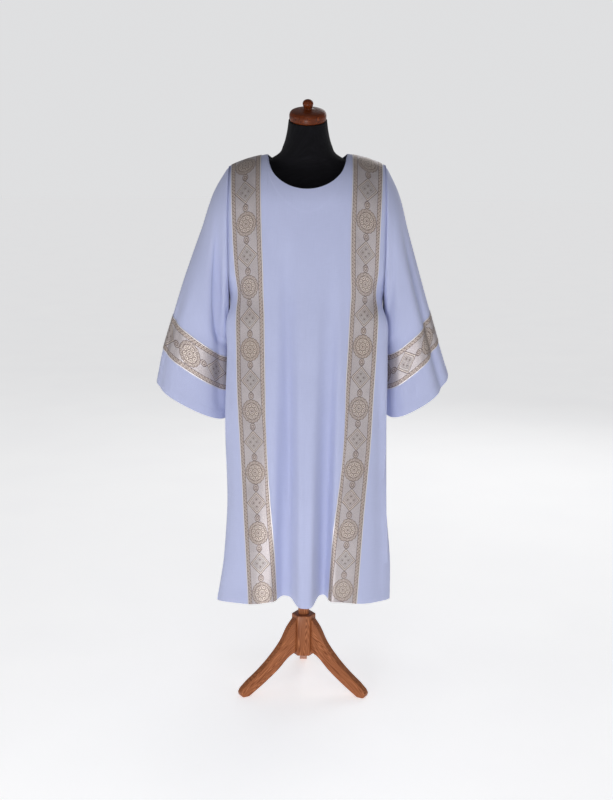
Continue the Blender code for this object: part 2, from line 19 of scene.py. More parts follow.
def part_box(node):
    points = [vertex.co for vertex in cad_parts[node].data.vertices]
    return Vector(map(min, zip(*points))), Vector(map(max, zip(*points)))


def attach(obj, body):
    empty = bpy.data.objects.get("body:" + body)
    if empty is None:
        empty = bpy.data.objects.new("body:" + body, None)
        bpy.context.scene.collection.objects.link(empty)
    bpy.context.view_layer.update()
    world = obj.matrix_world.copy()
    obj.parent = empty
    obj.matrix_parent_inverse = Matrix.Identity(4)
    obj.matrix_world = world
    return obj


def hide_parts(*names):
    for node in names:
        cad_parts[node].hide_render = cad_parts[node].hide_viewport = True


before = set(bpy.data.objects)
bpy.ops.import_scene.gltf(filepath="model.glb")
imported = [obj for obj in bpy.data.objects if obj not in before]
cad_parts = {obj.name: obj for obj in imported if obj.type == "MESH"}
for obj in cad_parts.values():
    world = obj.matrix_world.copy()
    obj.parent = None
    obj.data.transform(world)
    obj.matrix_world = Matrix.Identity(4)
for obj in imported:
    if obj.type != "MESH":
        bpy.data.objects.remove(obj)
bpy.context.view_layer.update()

LEFT, RIGHT = -1, 1
FRONT, BACK = -1, 1
SIDES = {"left": LEFT, "right": RIGHT}

# ---------------------------------------------------------------- sizes shared with the part's source

CLOTH = 0.0011
GALLOON = 0.0010
FACING = 0.0008
SEAM_GAP = 0.0003

HEM_HEIGHT = 0.308
HEM_LIFT = 0.28
HEM_DROP = {LEFT: 0.018, RIGHT: 0.006}
HEM_DROP_START = 0.10
HEM_DROP_SHARE = 0.6
UNDERARM_HEIGHT = 1.140
ARMHOLE_X = 0.212
NECK_SIDE_X = 0.107
NECK_SIDE_HEIGHT = 1.522
NECK_DROP = {FRONT: 0.090, BACK: 0.022}
SHOULDER_SLOPE = 0.12
SHOULDER_FALL = 1.7
SHOULDER_TILT = 0.012
RIDGE_FALL = 0.130
SQUARENESS = 2.4
ROLL_TURN = math.radians(60)
ROLL_WIDTH = math.radians(15)
FACING_DEPTH = 0.062

BODY = np.array(
    [
        # height, half width, front, back, left roll, right roll
        (0.280, 0.208, 0.196, 0.186, 0.058, 0.054),
        (0.400, 0.200, 0.188, 0.176, 0.047, 0.061),
        (0.550, 0.195, 0.180, 0.163, 0.040, 0.054),
        (0.800, 0.196, 0.163, 0.140, 0.045, 0.048),
        (1.000, 0.203, 0.149, 0.124, 0.032, 0.040),
        (1.080, 0.2090, 0.144, 0.119, 0.026, 0.031),
        (1.140, 0.212, 0.140, 0.116, 0.000, 0.000),
        (1.220, 0.238, 0.135, 0.113, 0.000, 0.000),
        (1.320, 0.258, 0.129, 0.109, 0.000, 0.000),
        (1.430, 0.270, 0.120, 0.106, 0.000, 0.000),
        (1.530, 0.270, 0.116, 0.108, 0.000, 0.000),
    ]
)

FOLDS = {
    FRONT: np.array(
        [
            # top x, top height, hem x, half width at top, at hem, rise at hem, flatness
            (-0.053, 1.32, -0.048, 0.024, 0.026, -0.038, 3),
            (0.066, 1.28, 0.048, 0.024, 0.020, -0.044, 3),
            (-0.092, 0.90, -0.082, 0.040, 0.036, -0.010, 2),
            (0.086, 0.90, 0.082, 0.040, 0.036, -0.010, 2),
            (0.003, 1.25, 0.004, 0.044, 0.033, 0.016, 4),
            (-0.150, 1.10, -0.140, 0.060, 0.050, 0.010, 2),
            (0.150, 1.05, 0.170, 0.050, 0.040, 0.014, 2),
        ]
    ),
    BACK: np.array(
        [
            (-0.118, 1.22, -0.112, 0.032, 0.026, -0.034, 2),
            (-0.060, 1.30, -0.050, 0.036, 0.034, 0.014, 4),
            (0.004, 1.36, 0.012, 0.032, 0.025, -0.036, 2),
            (0.066, 1.26, 0.074, 0.036, 0.034, 0.016, 4),
            (0.126, 1.18, 0.130, 0.030, 0.024, -0.030, 2),
        ]
    ),
}

# Middle line of each clavus, as the distance from the pole's axis
CLAVUS_WIDTH = 0.086
CLAVUS_LINES = np.array(
    [
        # height, left, right
        (0.300, 0.1125, 0.1035),
        (0.570, 0.1295, 0.1230),
        (0.750, 0.1390, 0.1390),
        (0.870, 0.1460, 0.1450),
        (1.140, 0.1525, 0.1565),
        (1.300, 0.1600, 0.1570),
        (1.520, 0.1660, 0.1625),
    ]
)

SLEEVES = {
    LEFT: np.array(
        [
            # station, outer x, outer height, inner x, inner height, inner y, front, back, sag
            (0.00, 0.212, 1.486, 0.2120, 1.140, 0.000, 0.080, 0.070, 0.000),
            (0.10, 0.247, 1.430, 0.2126, 1.105, 0.006, 0.082, 0.072, 0.000),
            (0.30, 0.290, 1.315, 0.2130, 1.055, 0.012, 0.080, 0.070, 0.004),
            (0.50, 0.335, 1.190, 0.2138, 1.015, 0.016, 0.074, 0.066, 0.008),
            (0.70, 0.3690, 1.082, 0.2150, 0.967, 0.020, 0.068, 0.062, 0.010),
            (0.83, 0.3970, 0.990, 0.2150, 0.871, 0.020, 0.065, 0.060, 0.012),
            (1.00, 0.416, 0.897, 0.2220, 0.796, 0.018, 0.064, 0.058, 0.020),
        ]
    ),
    RIGHT: np.array(
        [
            (0.00, 0.212, 1.490, 0.2120, 1.140, 0.000, 0.080, 0.070, 0.000),
            (0.10, 0.2435, 1.430, 0.2126, 1.105, 0.006, 0.082, 0.072, 0.002),
            (0.30, 0.278, 1.315, 0.2132, 1.055, 0.012, 0.080, 0.074, 0.008),
            (0.50, 0.313, 1.195, 0.2142, 1.020, 0.016, 0.076, 0.074, 0.018),
            (0.70, 0.3420, 1.098, 0.2170, 0.985, 0.020, 0.070, 0.072, 0.026),
            (0.83, 0.3670, 1.016, 0.2180, 0.886, 0.020, 0.068, 0.070, 0.028),
            (1.00, 0.397, 0.922, 0.2250, 0.816, 0.018, 0.066, 0.068, 0.038),
        ]
    ),
}
GALLOON_STATIONS = (0.70, 0.83)
SLEEVE_SQUARENESS = 2.2
ARMHOLE_BLEND = 0.30
# Each: distance from the pole's axis, half width, rise
SLEEVE_FOLDS = {
    LEFT: np.array([(0.238, 0.011, -0.010)]),
    RIGHT: np.array([(0.230, 0.009, -0.007)]),
}
SLEEVE_FOLD_TOP, SLEEVE_FOLD_END = 1.42, 1.03

TORSO = np.array(
    [
        # height, half width, front, back, tilt in degrees
        (0.800, 0.160, 0.108, 0.104, 0),
        (0.815, 0.167, 0.115, 0.110, 0),
        (0.880, 0.171, 0.120, 0.112, 0),
        (0.960, 0.165, 0.116, 0.104, 0),
        (1.080, 0.146, 0.104, 0.088, 0),
        (1.180, 0.154, 0.106, 0.088, 0),
        (1.280, 0.170, 0.110, 0.092, 0),
        (1.370, 0.184, 0.100, 0.088, 0),
        (1.430, 0.190, 0.080, 0.074, 0),
        (1.465, 0.186, 0.060, 0.058, 0),
        (1.484, 0.168, 0.046, 0.042, 0),
        (1.497, 0.136, 0.047, 0.040, 2),
        (1.508, 0.104, 0.054, 0.041, 5),
        (1.522, 0.079, 0.060, 0.045, 9),
        (1.545, 0.066, 0.059, 0.047, 13),
        (1.577, 0.057, 0.055, 0.047, 16),
        (1.611, 0.052, 0.052, 0.048, 18),
    ]
)
TORSO_SQUARENESS = 2.15

CAP_PROFILE = [
    # radius, height above the neck's top
    (0.0000, 0.000),
    (0.0465, 0.000),
    (0.0487, 0.002),
    (0.0500, 0.008),
    (0.0502, 0.014),
    (0.0492, 0.0200),
    (0.0460, 0.0250),
    (0.0390, 0.0280),
    (0.0270, 0.0300),
    (0.0170, 0.0310),
    (0.0120, 0.0325),
    (0.0105, 0.0350),
    (0.0120, 0.0385),
    (0.0140, 0.0430),
    (0.0145, 0.0475),
    (0.0122, 0.0528),
    (0.0068, 0.0568),
    (0.0000, 0.0580),
]

HUB_FLAT = 0.030
LEG_THICKNESS = 0.022
LEG_ANGLES = {"front_left": 210, "front_right": 330, "back": 90}
LEG_OUTLINE = [
    # distance from the axis, height: underside first, from the foot inwards
    (0.207, 0.005),
    (0.201, 0.000),
    (0.183, 0.000),
    (0.168, 0.009),
    (0.130, 0.033),
    (0.087, 0.064),
    (0.052, 0.095),
    (0.030, 0.106),
    (0.030, 0.206),
    (0.048, 0.186),
    (0.075, 0.140),
    (0.110, 0.100),
    (0.150, 0.065),
    (0.185, 0.040),
    (0.203, 0.024),
    (0.209, 0.014),
]

# ---------------------------------------------------------------- finer sizes, of the looks only

# Smaller creases on the panels: a line from its top to its bottom, half widths, and a rise that is
# negative in a trough. Each fades in and out over a third of its length.
CREASES = {
    FRONT: np.array(
        [
            # top x, top height, bottom x, bottom height, half width at top, at bottom, rise
            (-0.056, 1.34, -0.036, 0.56, 0.016, 0.013, -0.0095),
            (0.068, 1.31, 0.058, 0.70, 0.014, 0.012, -0.0025),
            (-0.208, 1.10, -0.214, 0.50, 0.010, 0.013, -0.0120),
            (0.200, 1.00, 0.213, 0.36, 0.010, 0.015, -0.0140),
            (-0.074, 1.18, -0.064, 0.45, 0.012, 0.014, 0.0030),
            (0.096, 1.20, 0.076, 0.55, 0.012, 0.012, 0.0035),
            (-0.098, 1.40, -0.088, 1.12, 0.012, 0.014, -0.0016),
            (0.104, 1.38, 0.100, 1.05, 0.012, 0.014, -0.0018),
            (-0.020, 1.10, -0.012, 0.52, 0.012, 0.014, 0.0022),
            (0.030, 1.02, 0.026, 0.62, 0.010, 0.012, -0.0018),
            (-0.004, 0.86, 0.004, 0.40, 0.010, 0.012, -0.0024),
            (-0.182, 0.62, -0.188, 0.36, 0.016, 0.018, 0.0030),
            (0.180, 0.60, 0.168, 0.34, 0.014, 0.016, -0.0030),
        ]
    ),
    BACK: np.array(
        [
            (-0.150, 1.40, -0.166, 1.02, 0.014, 0.018, -0.0050),
            (0.160, 1.42, 0.170, 0.98, 0.014, 0.018, -0.0060),
            (-0.026, 1.40, -0.020, 0.95, 0.014, 0.016, -0.0028),
            (0.036, 1.34, 0.042, 0.85, 0.012, 0.015, 0.0030),
            (-0.086, 1.10, -0.082, 0.58, 0.012, 0.014, 0.0036),
            (0.098, 1.02, 0.104, 0.52, 0.012, 0.014, 0.0034),
            (-0.178, 0.84, -0.186, 0.44, 0.014, 0.018, 0.0060),
            (0.176, 0.90, 0.182, 0.46, 0.014, 0.018, 0.0070),
            (-0.004, 0.80, 0.004, 0.44, 0.010, 0.012, 0.0020),
        ]
    ),
}

# Creases round a sleeve. "turn" is in degrees from the outer ridge, over the front
SLEEVE_CREASES = {
    LEFT: np.array(
        [
            # first station, last station, turn at first, turn at last, half width in degrees, rise
            (0.04, 0.62, 70, 134, 17, -0.0170),
            (0.42, 0.95, 126, 140, 14, -0.0080),
            (0.06, 0.80, 118, 152, 11, 0.0030),
            (0.00, 0.45, 158, 164, 20, 0.0110),
            (0.30, 1.10, 52, 58, 14, 0.0030),
            (0.45, 1.12, 30, 26, 9, -0.0035),
            (0.10, 0.80, 232, 244, 14, -0.0080),
            (0.25, 1.10, 290, 300, 16, 0.0050),
            (0.35, 1.12, 322, 318, 10, -0.0060),
        ]
    ),
    RIGHT: np.array(
        [
            (0.10, 1.08, 40, 36, 11, -0.0125),
            (0.10, 1.00, 66, 62, 12, 0.0040),
            (0.50, 1.12, 92, 100, 11, -0.0030),
            (0.12, 0.85, 240, 232, 14, -0.0080),
            (0.30, 1.10, 286, 294, 15, 0.0055),
            (0.40, 1.12, 324, 316, 10, -0.0060),
        ]
    ),
}

# Where a crease has faded out, as a share of its length
PANEL_CREASE_END, CREASE_END = 1.15, 1.1

HEM_TURN = 0.024  # depth of the turned hems
HEM_STEP = 0.0006  # how far the doubled cloth of a turned hem stands out
FACING_STEP = 0.0004  # the same over the facing
SEAM_DIP = 0.0030  # how far the cloth dips into the armhole's seam, and over what width
SEAM_DIP_WIDTH = 0.0055
SEAM_DIP_FADE = 0.10  # height above the underarm over which the dip sets in
STEP_WIDTH = 0.0025  # distance over which a step rises
FACING_FADE = 0.02  # distance over which the facing's mark dies out beyond the neck's sides
NECK_BLEND = 0.25  # top share of a panel over which columns close in on the neck's sides
NECK_TOLERANCE = 0.0015  # a point this close to the neck's side belongs to the shoulder seam

COLUMNS = {"side": 14, "clavus": 12, "shoulder": 4, "centre": 56}
ROWS_BELOW, ROWS_ABOVE = 108, 84
ROW_CROWDING = 1.7
ROW_SAMPLES = 1441
SLEEVE_ROWS, SLEEVE_AROUND = 132, 128
FACING_INSET = COLUMNS["shoulder"] + 3  # columns between a clavus and the facing
TORSO_LEVELS, TORSO_AROUND = 150, 128
CAP_POINTS, CAP_AROUND = 90, 96

REPEAT = 0.168  # length of the galloon's figure
FIELD_HALF = 0.0294  # from the galloon's middle to its rope borders
FIGURE_HEIGHT = {LEFT: 1.087, RIGHT: 1.097}  # where one of each clavus's lozenges is centred in front
SLEEVE_FIGURE_SHIFT = {LEFT: -0.022, RIGHT: 0.022}  # how far the figures are shifted round the sleeve

# Pole's axis: everything below is laid out around it
pole_low, pole_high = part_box("form_pole")
AXIS = np.array([(pole_low.x + pole_high.x) / 2, (pole_low.y + pole_high.y) / 2, 0.0])


# ---------------------------------------------------------------- tables, grids and shells


def read_off(stations, values, at):
    """A smooth curve through a table's values, read at the given stations."""
    slopes = np.gradient(values, stations)
    at = np.clip(at, stations[0], stations[-1])
    low = np.clip(np.searchsorted(stations, at, side="right") - 1, 0, len(stations) - 2)
    step = stations[low + 1] - stations[low]
    t = (at - stations[low]) / step
    start = (2 * t**3 - 3 * t**2 + 1) * values[low] + (t**3 - 2 * t**2 + t) * step * slopes[low]
    end = (3 * t**2 - 2 * t**3) * values[low + 1] + (t**3 - t**2) * step * slopes[low + 1]
    return start + end


def ease(t):
    t = np.clip(t, 0, 1)
    return t * t * (3 - 2 * t)


def bell(t):
    return np.exp(-(t**2))


def unit(vectors):
    return vectors / np.maximum(np.linalg.norm(vectors, axis=-1, keepdims=True), 1e-12)


def signed_power(values, power):
    return np.sign(values) * np.abs(values) ** power


def grid_normals(points, wrap=False):
    """Normals of a grid of points, on the side that rows crossed with columns point to."""
    if wrap:
        along = np.roll(points, -1, axis=1) - np.roll(points, 1, axis=1)
    else:
        along = np.gradient(points, axis=1)
    return unit(np.cross(along, np.gradient(points, axis=0)))


def arc_lengths(points, axis):
    """Distance along the grid's rows or columns to each point."""
    steps = np.linalg.norm(np.diff(points, axis=axis), axis=-1)
    start = np.zeros_like(np.take(steps, [0], axis=axis))
    return np.concatenate([start, np.cumsum(steps, axis=axis)], axis=axis)


def place_object(name, data):
    thing = bpy.data.objects.new(name, data)
    bpy.context.scene.collection.objects.link(thing)
    return thing


def finish_mesh(name, mesh, material, nodes, sharp=40):
    """Makes an object of a mesh, shaded smooth, that rides on the body and stands for CAD nodes."""
    bm = bmesh.new()
    bm.from_mesh(mesh)
    bmesh.ops.recalc_face_normals(bm, faces=bm.faces)
    bm.to_mesh(mesh)
    bm.free()
    mesh.shade_smooth()
    mesh.set_sharp_from_angle(angle=math.radians(sharp))
    mesh.materials.append(material)
    piece = place_object(name, mesh)
    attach(piece, "root")
    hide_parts(*nodes)
    return piece


def cells(rows, spans, stride):
    """Corner indices of a grid's cells. Rows hold stride points, and close up where spans is as many."""
    i, j = (part.ravel() for part in np.meshgrid(np.arange(rows - 1), np.arange(spans), indexing="ij"))
    k = (j + 1) % stride
    return np.stack([i * stride + j, i * stride + k, (i + 1) * stride + k, (i + 1) * stride + j], axis=1)


def fill_mesh(name, points, faces, uv, face_uv):
    """A mesh around the pole's axis, with its UVs in metres."""
    mesh = bpy.data.meshes.new(name)
    mesh.from_pydata((points + AXIS).tolist(), [], faces.tolist())
    layer = mesh.uv_layers.new(name="metres")
    layer.data.foreach_set("uv", uv.reshape(-1, 2)[face_uv.ravel()].astype(np.float32).ravel())
    return mesh


def shell(name, outside, inside, uv, material, nodes, wrap=False):
    """A closed shell between two matching grids. uv has one more column than the grids where they wrap."""
    rows, columns = outside.shape[:2]
    spans = columns if wrap else columns - 1
    wide = uv.shape[1]
    index, places = cells(rows, spans, columns), cells(rows, spans, wide)
    layer = rows * columns
    faces = [index, index[:, ::-1] + layer]
    face_uv = [places, places[:, ::-1]]
    rims = [(np.full(spans + 1, row), np.arange(spans + 1)) for row in (0, rows - 1)]
    if not wrap:
        rims += [(np.arange(rows), np.full(rows, column)) for column in (0, columns - 1)]
    for row, column in rims:
        here = row * columns + column % columns
        there = row * wide + column
        a, b = here[:-1], here[1:]
        faces.append(np.stack([a, b, b + layer, a + layer], axis=1))
        face_uv.append(np.stack([there[:-1], there[1:], there[1:], there[:-1]], axis=1))
    points = np.concatenate([outside.reshape(-1, 3), inside.reshape(-1, 3)])
    mesh = fill_mesh(name, points, np.concatenate(faces), uv, np.concatenate(face_uv))
    return finish_mesh(name, mesh, material, nodes)


def mean_size(grid, wrap=False):
    """Width and length that a grid of cloth would have laid flat, and its area."""
    if wrap:
        grid = np.concatenate([grid, grid[:, :1]], axis=1)
    across, along = arc_lengths(grid, 1)[:, -1], arc_lengths(grid, 0)[-1]
    a, b, c, d = grid[:-1, :-1], grid[:-1, 1:], grid[1:, 1:], grid[1:, :-1]
    area = np.linalg.norm(np.cross(b - a, d - a), axis=-1) + np.linalg.norm(np.cross(b - c, d - c), axis=-1)
    return float(across.max()), float(along.max()), float(area.sum() / 2)


# ---------------------------------------------------------------- body of the garment


def shoulder_height(x):
    reach = np.clip(np.abs(x) - NECK_SIDE_X, 0, ARMHOLE_X - NECK_SIDE_X)
    tilt = SHOULDER_TILT * np.clip(x, -ARMHOLE_X, ARMHOLE_X)
    return NECK_SIDE_HEIGHT - SHOULDER_SLOPE * reach - SHOULDER_FALL * reach**2 + tilt


def top_edge(x, face):
    """The shoulder line, and the neckline's half ellipse between the neck sides."""
    within = np.sqrt(np.clip(1 - (x / NECK_SIDE_X) ** 2, 0, None))
    return shoulder_height(x) - NECK_DROP[face] * within


def fold_rise(x, z, face):
    """How far the folds carry the cloth out from the panel's plain oval."""
    rise = np.zeros_like(x)
    for top_x, top_z, hem_x, top_width, hem_width, hem_rise, flatness in FOLDS[face]:
        down = np.clip((top_z - z) / (top_z - HEM_HEIGHT), 0, 1.05)
        line = top_x + (hem_x - top_x) * down
        width = top_width + (hem_width - top_width) * down
        rise += hem_rise * ease(down) ** 0.8 * np.exp(-(np.abs((x - line) / width) ** flatness))
    return rise


def crease_rise(x, z, face):
    """The same for the smaller creases."""
    rise = np.zeros_like(x)
    for top_x, top_z, low_x, low_z, top_width, low_width, height in CREASES[face]:
        down = (top_z - z) / (top_z - low_z)
        line = top_x + (low_x - top_x) * down
        width = np.clip(top_width + (low_width - top_width) * down, 0.006, None)
        fade = ease(3 * down) * ease(3 * (PANEL_CREASE_END - down))
        rise += height * fade * bell((x - line) / width)
    return rise


def shoulder_rounding(x, z):
    """0 on the shoulder line, rising to 1 where the cloth hangs free of the shoulder."""
    drop = np.clip((shoulder_height(x) - z) / RIDGE_FALL, 0, 1)
    return np.sqrt(np.clip(1 - (1 - drop) ** 2, 0, None))


def body_column(face):
    return 2 if face == FRONT else 3


def row_height(x, share, face):
    """Height of the row that is this share of the way from the hem to the top edge."""
    hem = HEM_HEIGHT - HEM_LIFT * fold_rise(x, np.full_like(x, HEM_HEIGHT), face)
    toward_side = ease((np.abs(x) - HEM_DROP_START) / (ARMHOLE_X - HEM_DROP_START))
    drop = np.where(x < 0, HEM_DROP[LEFT], HEM_DROP[RIGHT])
    hem = hem - drop * toward_side * (1 - ease(share / HEM_DROP_SHARE))
    return hem + (top_edge(x, face) - hem) * share


def body_row(share, face):
    """A row of a panel as a dense line of points from its left edge to its right one."""
    turn = np.linspace(-math.pi / 2, math.pi / 2, ROW_SAMPLES)
    heights = BODY[:, 0]
    across = signed_power(np.sin(turn), 2 / SQUARENESS)
    x = BODY[-1, 1] * across
    for _ in range(8):
        z = row_height(x, share, face)
        x = read_off(heights, BODY[:, 1], z) * across
    if face == FRONT:
        roll = np.where(turn < 0, read_off(heights, BODY[:, 4], z), read_off(heights, BODY[:, 5], z))
        x = x + np.sign(turn) * roll * bell((np.abs(turn) - ROLL_TURN) / ROLL_WIDTH)
    depth = read_off(heights, BODY[:, body_column(face)], z) * np.abs(np.cos(turn)) ** (2 / SQUARENESS)
    rise = fold_rise(x, z, face) + crease_rise(x, z, face)
    out = depth * shoulder_rounding(x, z) + rise * np.cos(turn) ** 0.5
    y = face * (np.clip(out, 0, None) + SEAM_GAP / 2)
    row = np.stack([x, y, z], axis=1)
    edge = ARMHOLE_X - SEAM_GAP / 2
    side_height = row_height(np.array([ARMHOLE_X]), share, face)[0]
    if side_height < UNDERARM_HEIGHT + SEAM_GAP:
        if side_height > UNDERARM_HEIGHT - SEAM_GAP:
            row[:, 0] = np.clip(row[:, 0], -edge, edge)
        return row
    middle = ROW_SAMPLES // 2
    last = middle + np.argmax(x[middle:] > edge) if (x[middle:] > edge).any() else ROW_SAMPLES - 1
    first = middle - np.argmax(x[middle::-1] < -edge) if (x[:middle] < -edge).any() else 0
    row = row[first : last + 1]
    for end, inner in ((0, 1), (-1, -2)):
        t = (edge - abs(row[inner, 0])) / (abs(row[end, 0]) - abs(row[inner, 0]))
        row[end] = row[inner] + (row[end] - row[inner]) * t
        row[end, 0] = math.copysign(edge, row[end, 0])
    return row


def clavus_arc(row, arc, side):
    """Where along a row the middle of a clavus lies."""
    middle = len(row) // 2
    half = slice(middle, None) if side == RIGHT else slice(middle, None, -1)
    x, z, at = np.abs(row[half, 0]), row[half, 2], arc[half]
    line = read_off(CLAVUS_LINES[:, 0], CLAVUS_LINES[:, 1 if side == LEFT else 2], z)
    return at[np.argmax(x >= line)]


def panel_grid(face):
    """The outside of a panel: rows from the hem up, columns from left to right."""
    span = shoulder_height(np.array([ARMHOLE_X]))[0] - HEM_HEIGHT
    underarm = (UNDERARM_HEIGHT - HEM_HEIGHT) / span
    below = np.linspace(0, underarm, ROWS_BELOW + 1)
    above = np.linspace(1, 0, ROWS_ABOVE + 1)[1:] ** ROW_CROWDING
    shares = np.concatenate([below, 1 - above * (1 - underarm)])
    centre_cells = COLUMNS["centre"] + 2 * COLUMNS["shoulder"]
    grid = []
    for share in shares:
        row = body_row(share, face)
        arc = arc_lengths(row, 0)
        left, right = clavus_arc(row, arc, LEFT), clavus_arc(row, arc, RIGHT)
        half = CLAVUS_WIDTH / 2
        inner_left, inner_right = left + half, right - half
        step = (inner_right - inner_left) / centre_cells
        near_top = ease((share - 1 + NECK_BLEND) / NECK_BLEND)
        middle = len(row) // 2
        neck = []
        for side, inner in ((LEFT, inner_left), (RIGHT, inner_right)):
            reach = slice(middle, None) if side == RIGHT else slice(middle, None, -1)
            exact = arc[reach][np.argmax(np.abs(row[reach, 0]) >= NECK_SIDE_X)]
            even = inner - side * step * COLUMNS["shoulder"]
            neck.append(even + (exact - even) * near_top)
        stops = [0, left - half, inner_left, neck[0], neck[1], inner_right, right + half, arc[-1]]
        order = ["side", "clavus", "shoulder", "centre", "shoulder", "clavus", "side"]
        at = [0.0]
        for low, high, part in zip(stops, stops[1:], order):
            at.extend(np.linspace(low, high, COLUMNS[part] + 1)[1:])
        grid.append(np.stack([np.interp(at, arc, row[:, axis]) for axis in range(3)], axis=1))
    return np.array(grid)


def panel_normals(grid, face):
    """Outward normals, held square to the seam on every edge so that panels meet face to face."""
    normals = -face * grid_normals(grid)
    for column, side in ((0, LEFT), (-1, RIGHT)):
        edge = grid[:, column]
        above = edge[:, 2] > UNDERARM_HEIGHT + 2 * SEAM_GAP
        along = np.gradient(edge, axis=0)
        normals[~above, column] = (side, 0, 0)
        normals[above, column] = np.stack(
            [np.zeros(above.sum()), face * along[above, 2], -face * along[above, 1]], axis=1
        )
    on_shoulder = np.abs(grid[-1, :, 0]) >= NECK_SIDE_X - NECK_TOLERANCE
    normals[-1, on_shoulder, 1] = 0
    normals[0, :, 2] = 0
    return unit(normals)


def cloth_steps(grid, face):
    """How far the doubled cloth of the hem and the facing stands out, and the dips into the armholes."""
    up, across = arc_lengths(grid, 0), arc_lengths(grid, 1)
    steps = HEM_STEP * ease((HEM_TURN - up) / STEP_WIDTH + 0.5)
    down = up[-1] - up
    if face == FRONT:
        centre = 1 - ease((np.abs(grid[:, :, 0]) - NECK_SIDE_X) / FACING_FADE)
        steps += FACING_STEP * ease((FACING_DEPTH - down) / STEP_WIDTH + 0.5) * centre
    above = ease((grid[:, :, 2] - UNDERARM_HEIGHT) / SEAM_DIP_FADE)
    for inward in (across, across[:, -1:] - across):
        steps -= SEAM_DIP * above * bell(inward / SEAM_DIP_WIDTH)
    return steps


def panel(face):
    """A panel's outside grid with its steps, its normals, and its UVs."""
    grid = panel_grid(face)
    normals = panel_normals(grid, face)
    steps = cloth_steps(grid, face)
    steps[-1, np.abs(grid[-1, :, 0]) >= NECK_SIDE_X - NECK_TOLERANCE] = 0
    grid = grid + normals * steps[:, :, None]
    across = arc_lengths(grid, 1)
    across = across - across[:, across.shape[1] // 2 : across.shape[1] // 2 + 1]
    uv = np.stack([across, arc_lengths(grid, 0)], axis=2)
    return grid, normals, uv


def clavus_columns(side):
    """First and last column of a clavus on a panel."""
    first = COLUMNS["side"]
    if side == RIGHT:
        first += COLUMNS["clavus"] + 2 * COLUMNS["shoulder"] + COLUMNS["centre"]
    return slice(first, first + COLUMNS["clavus"] + 1)


def make_panels(panels, cloth):
    for name, face in (("front", FRONT), ("back", BACK)):
        grid, normals, uv = panels[face]
        piece = shell(
            f"cloth_{name}", grid, grid - normals * CLOTH, uv, cloth, [f"{name}_panel"]
        )
        width, length, area = mean_size(grid)


def make_clavus(label, side, panels, galloon):
    """One strip on the panels' own points: up the front, over the shoulder and down the back."""
    columns = clavus_columns(side)
    front, front_normals = (part[:, columns] for part in panels[FRONT][:2])
    back, back_normals = (part[::-1, columns] for part in panels[BACK][:2])
    ridge = (front[-1:] + back[:1]) / 2
    ridge_normals = unit(front_normals[-1:] + back_normals[:1])
    points = np.concatenate([front[:-1], ridge, back[1:]])
    normals = np.concatenate([front_normals[:-1], ridge_normals, back_normals[1:]])
    inside = points + normals * SEAM_GAP
    outside = inside + normals * GALLOON
    # A figure's middle lies on the height that FIGURE_HEIGHT gives for this side.
    middle = points[:, points.shape[1] // 2]
    along = arc_lengths(middle, 0)
    along = along - np.interp(FIGURE_HEIGHT[side], middle[: len(front) - 1, 2], along[: len(front) - 1])
    across = np.linspace(-CLAVUS_WIDTH / 2, CLAVUS_WIDTH / 2, points.shape[1])
    uv = np.stack(np.broadcast_arrays(across[None, :], along[:, None]), axis=2)
    piece = shell(f"galloon_{label}", outside, inside, uv, galloon, [f"clavus_{label}"])


def make_facing(panels, cloth):
    """The facing follows the neckline on the inside of the front."""
    grid, normals, uv = panels[FRONT]
    first, last = clavus_columns(LEFT).stop - 1, clavus_columns(RIGHT).start
    down = arc_lengths(grid, 0)[-1] - arc_lengths(grid, 0)
    lowest = int(np.argmin(np.abs(down[:, grid.shape[1] // 2] - FACING_DEPTH)))
    part = (slice(lowest, None), slice(first + FACING_INSET, last + 1 - FACING_INSET))
    outside = grid[part] - normals[part] * (CLOTH + SEAM_GAP)
    inside = outside - normals[part] * FACING
    piece = shell("facing", outside, inside, uv[part], cloth, ["neck_facing"])
    width, length, area = mean_size(outside)


# ---------------------------------------------------------------- sleeves


def armhole_depth(z, face):
    """How far from the shoulder's plane the armhole's edge lies at a height."""
    half_width = read_off(BODY[:, 0], BODY[:, 1], z)
    depth = read_off(BODY[:, 0], BODY[:, body_column(face)], z)
    oval = np.clip(1 - (ARMHOLE_X / half_width) ** SQUARENESS, 0, None) ** (1 / SQUARENESS)
    return depth * oval * shoulder_rounding(np.full_like(z, ARMHOLE_X), z)


def sleeve_fold(x, z, front, side):
    """Troughs and crests that run down the front of the sleeve beside the armhole."""
    fade = ease((SLEEVE_FOLD_TOP - z) / 0.10) * ease((z - SLEEVE_FOLD_END) / 0.10) * front
    rise = np.zeros_like(x)
    for line, width, height in SLEEVE_FOLDS[side]:
        rise += height * bell((x - line) / width)
    return rise * fade


def sleeve_stations():
    """Stations from armhole to cuff, with exact rows at the galloon's two edges."""
    stations = np.linspace(0, 1, SLEEVE_ROWS + 1) ** 1.15
    for edge in GALLOON_STATIONS:
        stations[np.argmin(np.abs(stations - edge))] = edge
    return stations


